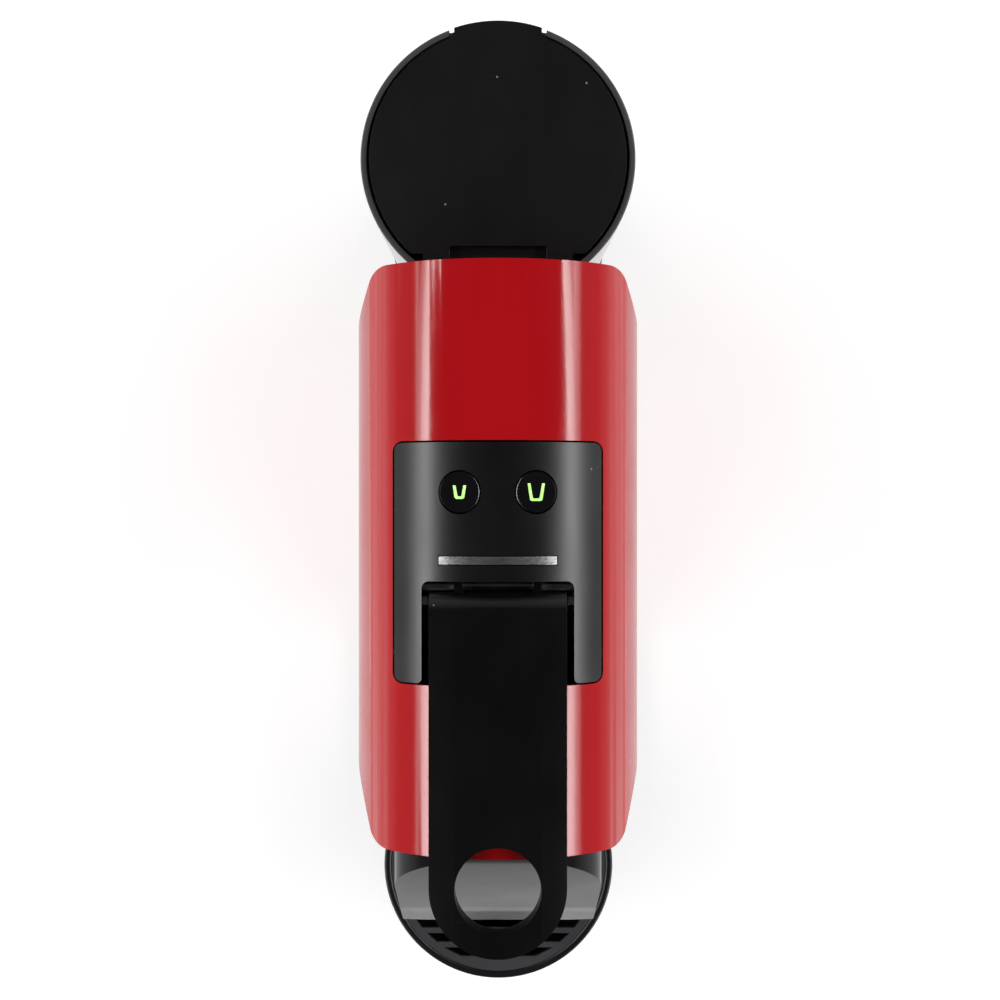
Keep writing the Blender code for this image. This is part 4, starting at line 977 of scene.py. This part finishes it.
@dataclass
class Lever:
    """The lever with its finger ring, its crank below, and the rockers that it swings."""

    ring_y: float = -90.6 * MM
    finger_y: float = -91.1 * MM
    finger_radius: float = 12.0 * MM
    axle_y: float = -17.5 * MM
    axle_z: float = 195.5 * MM
    rear_radius: float = 8.4 * MM
    crown: float = 140.0 * MM
    rounding: float = 1.3 * MM
    below: float = 0.19                  # a height under the lever
    hollow_front: float = -84.2 * MM
    hollow_half: float = 17.3 * MM
    cover: Box = field(default_factory=lambda: Box.of("lever_cover"))

    def outline(self) -> Outline:
        """Return the lever from above: square at the rear, a half circle in front."""
        half, rear = self.cover.hi.x, self.axle_y + self.rear_radius + 1 * MM
        corners = [(half, self.ring_y, 0), (half, rear, 1.5 * MM),
                   (-half, rear, 1.5 * MM), (-half, self.ring_y, 0)]
        return rounded(corners) + arc((0, self.ring_y), half, 180, 360, 96)[1:-1]

    def build(self) -> None:
        """Build and dress the lever and its linkage."""
        top, y, z = self.cover.hi.z, self.axle_y, self.axle_z
        cover = Solid.prism(self.outline(), z + 0.3 * MM, top)
        crown = [(-0.02, self.below), (0.02, self.below)] + arc((0, top - self.crown), self.crown, 82, 98, 48)
        rear = ([(-0.12, self.below), (y, self.below)] + arc((y, z), self.rear_radius, -40, 90, 40) + [(-0.12, top)])
        cover.with_others(Cut.KEEP, Solid.prism(crown, -0.13, 0.02, Axis.Y))
        cover.with_others(Cut.KEEP, Solid.prism(rear, -0.03, 0.03, Axis.X))
        hole = [(0, 0), (self.finger_radius, 0), (self.finger_radius, 20 * MM), (0, 20 * MM)]
        cover.less(Solid.turned(hole, (0, self.finger_y, self.below), 96))
        cover.softened(self.rounding, 5, 45)
        hollow = [(self.hollow_front, self.below), (0.0, self.below), (y + 6.2 * MM, z),
                  (y + 5.2 * MM, z + 3.0 * MM),
                  (y + 2.5 * MM, z + 4.7 * MM), (self.hollow_front, z + 4.7 * MM)]
        cover.less(Solid.prism(hollow, -self.hollow_half, self.hollow_half, Axis.X))
        cover.piece("lever_cover_fine", SOFT_BLACK, "lever", "lever_cover", sharp=32)
        for node, body, edge in (("lever_arm", "lever", 0.25), ("crank_pin", "lever", 0.3),
                                 ("rocker_left", "rockers", 0.25), ("rocker_right", "rockers", 0.25),
                                 ("lever_axle", "machine", 0.3), ("rocker_pivot_left", "machine", 0.3),
                                 ("rocker_pivot_right", "machine", 0.3)):
            Solid.of_node(node).piece(node + "_fine", STEEL, body, node, edge=edge * MM)


@dataclass
class BrewUnit:
    """The brewing frame, the sliding cage with its blades, the fixed plate with its seal, and the outlet."""

    pieces: tuple[tuple[str, str, Finish, float], ...] = (
        ("brew_frame", "machine", DARK_GREY, 0.3), ("capsule_guide", "machine", SATIN_BLACK, 0.3),
        ("capsule_cage", "cage", DARK_GREY, 0.25), ("piercing_blades", "cage", STEEL, 0.05),
        ("cage_inlet", "cage", STEEL, 0.2), ("extraction_plate", "machine", STEEL, 0.1),
        ("plate_seal", "machine", SILICONE, 0.2), ("coffee_outlet", "machine", DARK_GREY, 0.2))

    def build(self) -> None:
        """Build and dress the brewing unit."""
        for node, body, finish, edge in self.pieces:
            Solid.of_node(node).piece(node + "_fine", finish, body, node, edge=edge * MM)


@dataclass
class Works:
    """The water circuit and the electrical boards inside the column."""

    pieces: tuple[tuple[str, str, Finish, float], ...] = (
        ("tank_seat", "machine", DARK_GREY, 0.25), ("inlet_hose", "machine", SILICONE, 0.1),
        ("flowmeter_body", "machine", NYLON, 0.25), ("flowmeter_cover", "machine", NYLON, 0.2),
        ("flowmeter_rotor", "flow_rotor", DARK_GREY, 0.1), ("pump_hose", "machine", SILICONE, 0.1),
        ("pump_body", "machine", NYLON, 0.25), ("pump_coil", "machine", COIL, 0.0),
        ("pump_mount_lower", "machine", RUBBER, 0.2), ("pump_mount_upper", "machine", RUBBER, 0.2),
        ("thermoblock", "machine", ALLOY, 0.3), ("heater_hose", "machine", SILICONE, 0.1),
        ("brew_hose", "machine", SILICONE, 0.1), ("control_board", "machine", BOARD, 0.1),
        ("power_board", "machine", BOARD, 0.1))

    def build(self) -> None:
        """Build and dress the works."""
        for node, body, finish, edge in self.pieces:
            Solid.of_node(node).piece(node + "_fine", finish, body, node, edge=edge * MM)


@dataclass
class WasteModule:
    """The capsule container, the drip base, and the round cup support with its slatted grid."""

    grid_radius: float = 39.3 * MM
    ring: float = 2.7 * MM
    pitch: float = 5.25 * MM
    slat: float = 1.9 * MM
    grid: Box = field(default_factory=lambda: Box.of("drip_grid"))
    support: Box = field(default_factory=lambda: Box.of("cup_support"))
    drip: Box = field(default_factory=lambda: Box.of("drip_base"))

    @property
    def tray_y(self) -> float:
        """Return the middle of the round tray."""
        return self.support.middle.y

    def build(self) -> None:
        """Build and dress the module."""
        Solid.of_node("capsule_container").piece("capsule_container_fine", SATIN_BLACK, "waste_module",
                                                 "capsule_container", edge=0.4 * MM, segments=3)
        self.build_drip_base()
        self.build_support()
        self.build_grid()

    def build_drip_base(self) -> None:
        """Build the low base that catches the drips, with the tongue that carries the container."""
        def outline(half: float, radius: float, back: float, front: float, turn: float) -> Outline:
            sweep = arc((0, self.tray_y), radius, turn, -180 - turn, 144)[1:-1]
            return [(half, back), (half, front)] + sweep + [(-half, front), (-half, back)]
        low, high = self.drip.lo.z, 18.8 * MM
        base = Solid.prism(outline(35.2 * MM, 41.2 * MM, -40 * MM, -96 * MM, 31.3), low, high)
        base.softened(1.0 * MM, 3, 50)
        base.less(Solid.prism(outline(33 * MM, 39 * MM, -42 * MM, -97 * MM, 30), low + 2 * MM, 30 * MM))
        tongue = rectangle((-30 * MM, -40.5 * MM), (30 * MM, 10 * MM), 1.5 * MM)
        base.with_others(Cut.ADD, Solid.prism(tongue, 16.3 * MM, 19 * MM))
        base.piece("drip_base_fine", SATIN_BLACK, "waste_module", "drip_base", edge=0.3 * MM)

    def build_support(self) -> None:
        """Build the round cup support: a thin wall with a step that carries the grid and a rolled rim."""
        wall = [(40.8, 0.0), (38.8, 0.0), (38.8, 21.5), (36.6, 22.2), (36.6, 23.2), (39.6, 23.8),
                (39.6, 25.5), (39.9, 25.75), (40.8, 25.8), (41.6, 25.75), (41.9, 25.5),
                (42.0, 25.1), (42.0, 22.6), (41.7, 22.1), (40.8, 20.6)]
        profile = [(r * MM, z * MM) for r, z in wall]
        support = Solid.turned(profile, (0, self.tray_y, self.support.lo.z), 180)
        support.piece("cup_support_fine", SATIN_BLACK, "cup_rest", "cup_support", sharp=50)

    def build_grid(self) -> None:
        """Build the grid: a ring, slats across it and a solid crescent in front."""
        low, high, inner = self.grid.lo.z, self.grid.hi.z, self.grid_radius - self.ring
        centre = (0.0, self.tray_y)
        disc = [(0, 0), (self.grid_radius, 0), (self.grid_radius, high - low), (0, high - low)]
        grid = Solid.turned(disc, (*centre, low), 160)
        slots = []
        for index in range(int(2 * inner / self.pitch) + 1):
            near = 2.6 * MM - inner + index * self.pitch
            far = min(near + self.pitch - self.slat, inner - 0.4 * MM)
            if far - near < 1.2 * MM:
                continue
            a, b = chord_angle(near, inner), chord_angle(far, inner)
            slots.append(Solid.prism(arc(centre, inner, a, b, 6) + arc(centre, inner, 180 - b, 180 - a, 6),
                                     low - 10 * MM, high + 10 * MM))
        grid.less(Solid.gathered(slots))
        # The grid wears the darker grey, whose colour is painted shade.
        grid.piece("drip_grid_fine", SHADED_GRID_GREY, "cup_rest", "drip_grid", edge=0.2 * MM, segments=3)


@dataclass
class Tank:
    """The smoky clear tank with its hinged lid and the valve in its floor."""

    radius: float = 41.0 * MM
    wall: float = 1.8 * MM
    floor: float = 2.5 * MM
    draught: float = 1.3 * MM            # how much narrower the tank is at its foot
    front: float = 85.6 * MM
    tongue: float = 22.2 * MM
    lift: float = 13.8 * MM
    dome: float = 1.4 * MM
    tank: Box = field(default_factory=lambda: Box.of("water_tank"))
    lid: Box = field(default_factory=lambda: Box.of("tank_lid"))

    @property
    def middle_y(self) -> float:
        """Return the middle of the tank's circle."""
        return self.tank.hi.y - self.radius

    def section(self, inset: float, height: float) -> list[Vector]:
        """Return the tank's outline at a height: a circle with a flat front."""
        radius = self.radius - inset
        start = chord_angle(self.front + inset - self.middle_y, radius)
        return [Vector((x, y, height)) for x, y in arc((0, self.middle_y), radius, start, 180 - start, 140)]

    def build(self) -> None:
        """Build and dress the tank, its lid and its valve."""
        low, high, slim = self.tank.lo.z, self.tank.hi.z, self.draught
        outside = [(slim + 2 * MM, low), (slim + 0.6 * MM, low + 0.5 * MM), (slim, low + 2 * MM),
                   (slim * 0.5, (low + high) / 2), (0.0, high - 12 * MM), (0.0, high - 0.4 * MM),
                   (0.35 * MM, high)]
        tank = Solid.lofted([self.section(inset, z) for inset, z in outside])
        bottom = low + self.floor
        room = [(slim + 3.5 * MM, bottom), (slim + self.wall, bottom + 1.6 * MM),
                (slim * 0.5 + self.wall, (low + high) / 2), (self.wall, high - 12 * MM),
                (self.wall, high + 20 * MM)]
        hinge = rectangle((-23.8 * MM, 155.5 * MM), (23.8 * MM, 180 * MM), 1.5 * MM)
        lift = rectangle((-14.5 * MM, 160.5 * MM), (14.5 * MM, 180 * MM), 1.5 * MM)
        hole = [(0, 0), (6.2 * MM, 0), (6.2 * MM, 20 * MM), (0, 20 * MM)]
        tank.less(Solid.lofted([self.section(inset, z) for inset, z in room]),
                  Solid.turned(hole, (0, 112 * MM, 10 * MM), 64),
                  Solid.prism(hinge, 80 * MM, 90 * MM, Axis.Y), Solid.prism(lift, 150 * MM, 170 * MM, Axis.Y))
        tank.piece("water_tank_fine", SMOKY, "tank", "water_tank", edge=0.15 * MM)
        self.build_lid()
        for node, body, finish in (("tank_valve_body", "tank", DARK_GREY),
                                   ("valve_poppet", "poppet", SILICONE)):
            Solid.of_node(node).piece(node + "_fine", finish, body, node, edge=0.15 * MM)

    def build_lid(self) -> None:
        """Build the low domed lid, with its hinge tongue in front and the tab that lifts it behind."""
        low, high, y = self.lid.lo.z, self.lid.hi.z, self.middle_y
        radius, front = self.radius - self.wall - 0.9 * MM, 90.0 * MM
        start = chord_angle(front - y, radius)
        angle = degrees(atan2(self.lift, self.radius))
        outline = (arc((0, y), radius, start, 90 - angle * 1.07, 60)
                   + arc((0, y), self.radius - 0.1 * MM, 90 - angle, 90 + angle, 24)
                   + arc((0, y), radius, 90 + angle * 1.07, 180 - start, 60)
                   + [(-self.tongue, front), (-self.tongue, self.lid.lo.y), (self.tongue, self.lid.lo.y),
                      (self.tongue, front)])
        lid = Solid.prism(outline, low, high)
        reach, steps = self.radius + 4 * MM, 24
        fall = [(reach * i / steps, high - low - self.dome * (i / steps) ** 2) for i in range(steps + 1)]
        dome = Solid.turned([(0, -5 * MM)] + [(reach, -5 * MM)] + fall[::-1], (0, y, low), 120)
        lid.with_others(Cut.KEEP, dome)
        recess = rectangle((-14.5 * MM, 88.6 * MM), (14.5 * MM, 92.2 * MM), 0.6 * MM)
        lid.less(Solid.prism(recess, high - 2.6 * MM, high + 5 * MM))
        lid.piece("tank_lid_fine", LID_BLACK, "lid", "tank_lid", edge=0.5 * MM, segments=4)


# ---------------------------------------------------------------- studio
@dataclass(frozen=True)
class Strip:
    """One long soft light beside the machine, seen from it between two angles from straight up."""

    side: int
    near: float
    far: float
    radiance: float
    distance: float = 1.1
    length: float = 3.2

    def build(self, middle: Vector) -> None:
        """Hang the light.

        Args:
            middle: The point it faces.
        """
        angle, spread = radians((self.near + self.far) / 2), radians(self.far - self.near)
        width = 2 * self.distance * tan(spread / 2)
        lamp = bpy.data.lights.new(f"strip_{self.side}_{self.near:.0f}", "AREA")
        lamp.shape, lamp.size, lamp.size_y = "RECTANGLE", self.length, width
        lamp.energy = self.radiance * pi * self.length * width
        away = Vector((self.side * sin(angle), 0.0, cos(angle)))
        rows = Matrix((Vector((0, 1, 0)), away.cross((0, 1, 0)), away)).transposed().to_4x4()
        obj = bpy.data.objects.new(lamp.name, lamp)
        obj.matrix_world = Matrix.Translation(middle + away * self.distance) @ rows
        bpy.context.scene.collection.objects.link(obj)


@dataclass
class Studio:
    """A pale floor, soft strip lights on both sides, a pale horizon, and the camera overhead."""

    camera_place: tuple[float, float, float] = (0.0006, 0.0167, 0.672)
    lens: float = 61.3
    bands: tuple[tuple[float, float, float], ...] = (
        (57.5, 60.5, 17.0), (60.5, 65.0, 12.0), (65.0, 70.0, 4.0))
    floor_glow: float = 0.55
    focus: tuple[float, float, float] = (0.0, 0.0, 0.19)      # what the strips face
    pale_below: float = 0.20             # rise of the sky, 0 level to 1 overhead, up to which it is pale
    dark_above: float = 0.45
    horizon: float = 0.35                # strength of the pale part
    zenith: float = 0.03

    def build(self) -> None:
        """Set up the studio."""
        scene = bpy.context.scene
        scene.view_settings.view_transform = "Standard"
        middle = Vector(self.focus)
        for side in (-1, 1):
            for near, far, radiance in self.bands:
                Strip(side, near, far, radiance).build(middle)
        self.build_floor()
        self.build_world()
        camera = bpy.data.cameras.new("camera")
        camera.lens, camera.sensor_width, camera.clip_start = self.lens, 36.0, 0.01
        obj = bpy.data.objects.new("camera", camera)
        obj.location = self.camera_place
        scene.collection.objects.link(obj)
        scene.camera = obj

    def build_floor(self) -> None:
        """Lay a plain pale floor."""
        mesh, work = bpy.data.meshes.new("floor"), bmesh.new()
        bmesh.ops.create_grid(work, x_segments=4, y_segments=4, size=8.0)
        work.to_mesh(mesh)
        work.free()
        floor = bpy.data.objects.new("floor", mesh)
        bpy.context.scene.collection.objects.link(floor)
        graph = Graph("floor")
        cloud = graph.noise(graph.place(), 0.4, 2.0)
        colour = graph.mix(cloud, (0.55, 0.55, 0.55), (0.57, 0.57, 0.57))
        mesh.materials.append(graph.dress(Base_Color=colour, Roughness=0.8, Emission_Color=(1, 1, 1, 1),
                                          Emission_Strength=self.floor_glow))

    def build_world(self) -> None:
        """Make the surroundings dark overhead and pale towards the horizon."""
        world = bpy.data.worlds.new("studio")
        bpy.context.scene.world = world
        world.use_nodes = True
        tree = world.node_tree
        place = tree.nodes.new("ShaderNodeTexCoord")
        parts = tree.nodes.new("ShaderNodeSeparateXYZ")
        climb = tree.nodes.new("ShaderNodeMapRange")
        climb.interpolation_type = "SMOOTHSTEP"
        limits = (self.pale_below, self.dark_above, self.horizon, self.zenith)
        for socket, value in enumerate(limits, 1):
            climb.inputs[socket].default_value = value
        tree.links.new(place.outputs["Generated"], parts.inputs[0])
        tree.links.new(parts.outputs[2], climb.inputs[0])
        tree.links.new(climb.outputs[0], tree.nodes["Background"].inputs["Strength"])
        tree.nodes["Background"].inputs["Color"].default_value = (1, 1, 1, 1)


def main() -> None:
    """Build every part of the picture in order."""
    logging.basicConfig(level=logging.INFO, format="%(message)s")
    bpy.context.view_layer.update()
    casing = Casing()
    for part in (Studio(), casing, ControlPanel(casing), Lever(), BrewUnit(), Works(), WasteModule(), Tank()):
        LOG.info("building %s", type(part).__name__)
        part.build()


if __name__ == "__main__":
    main()
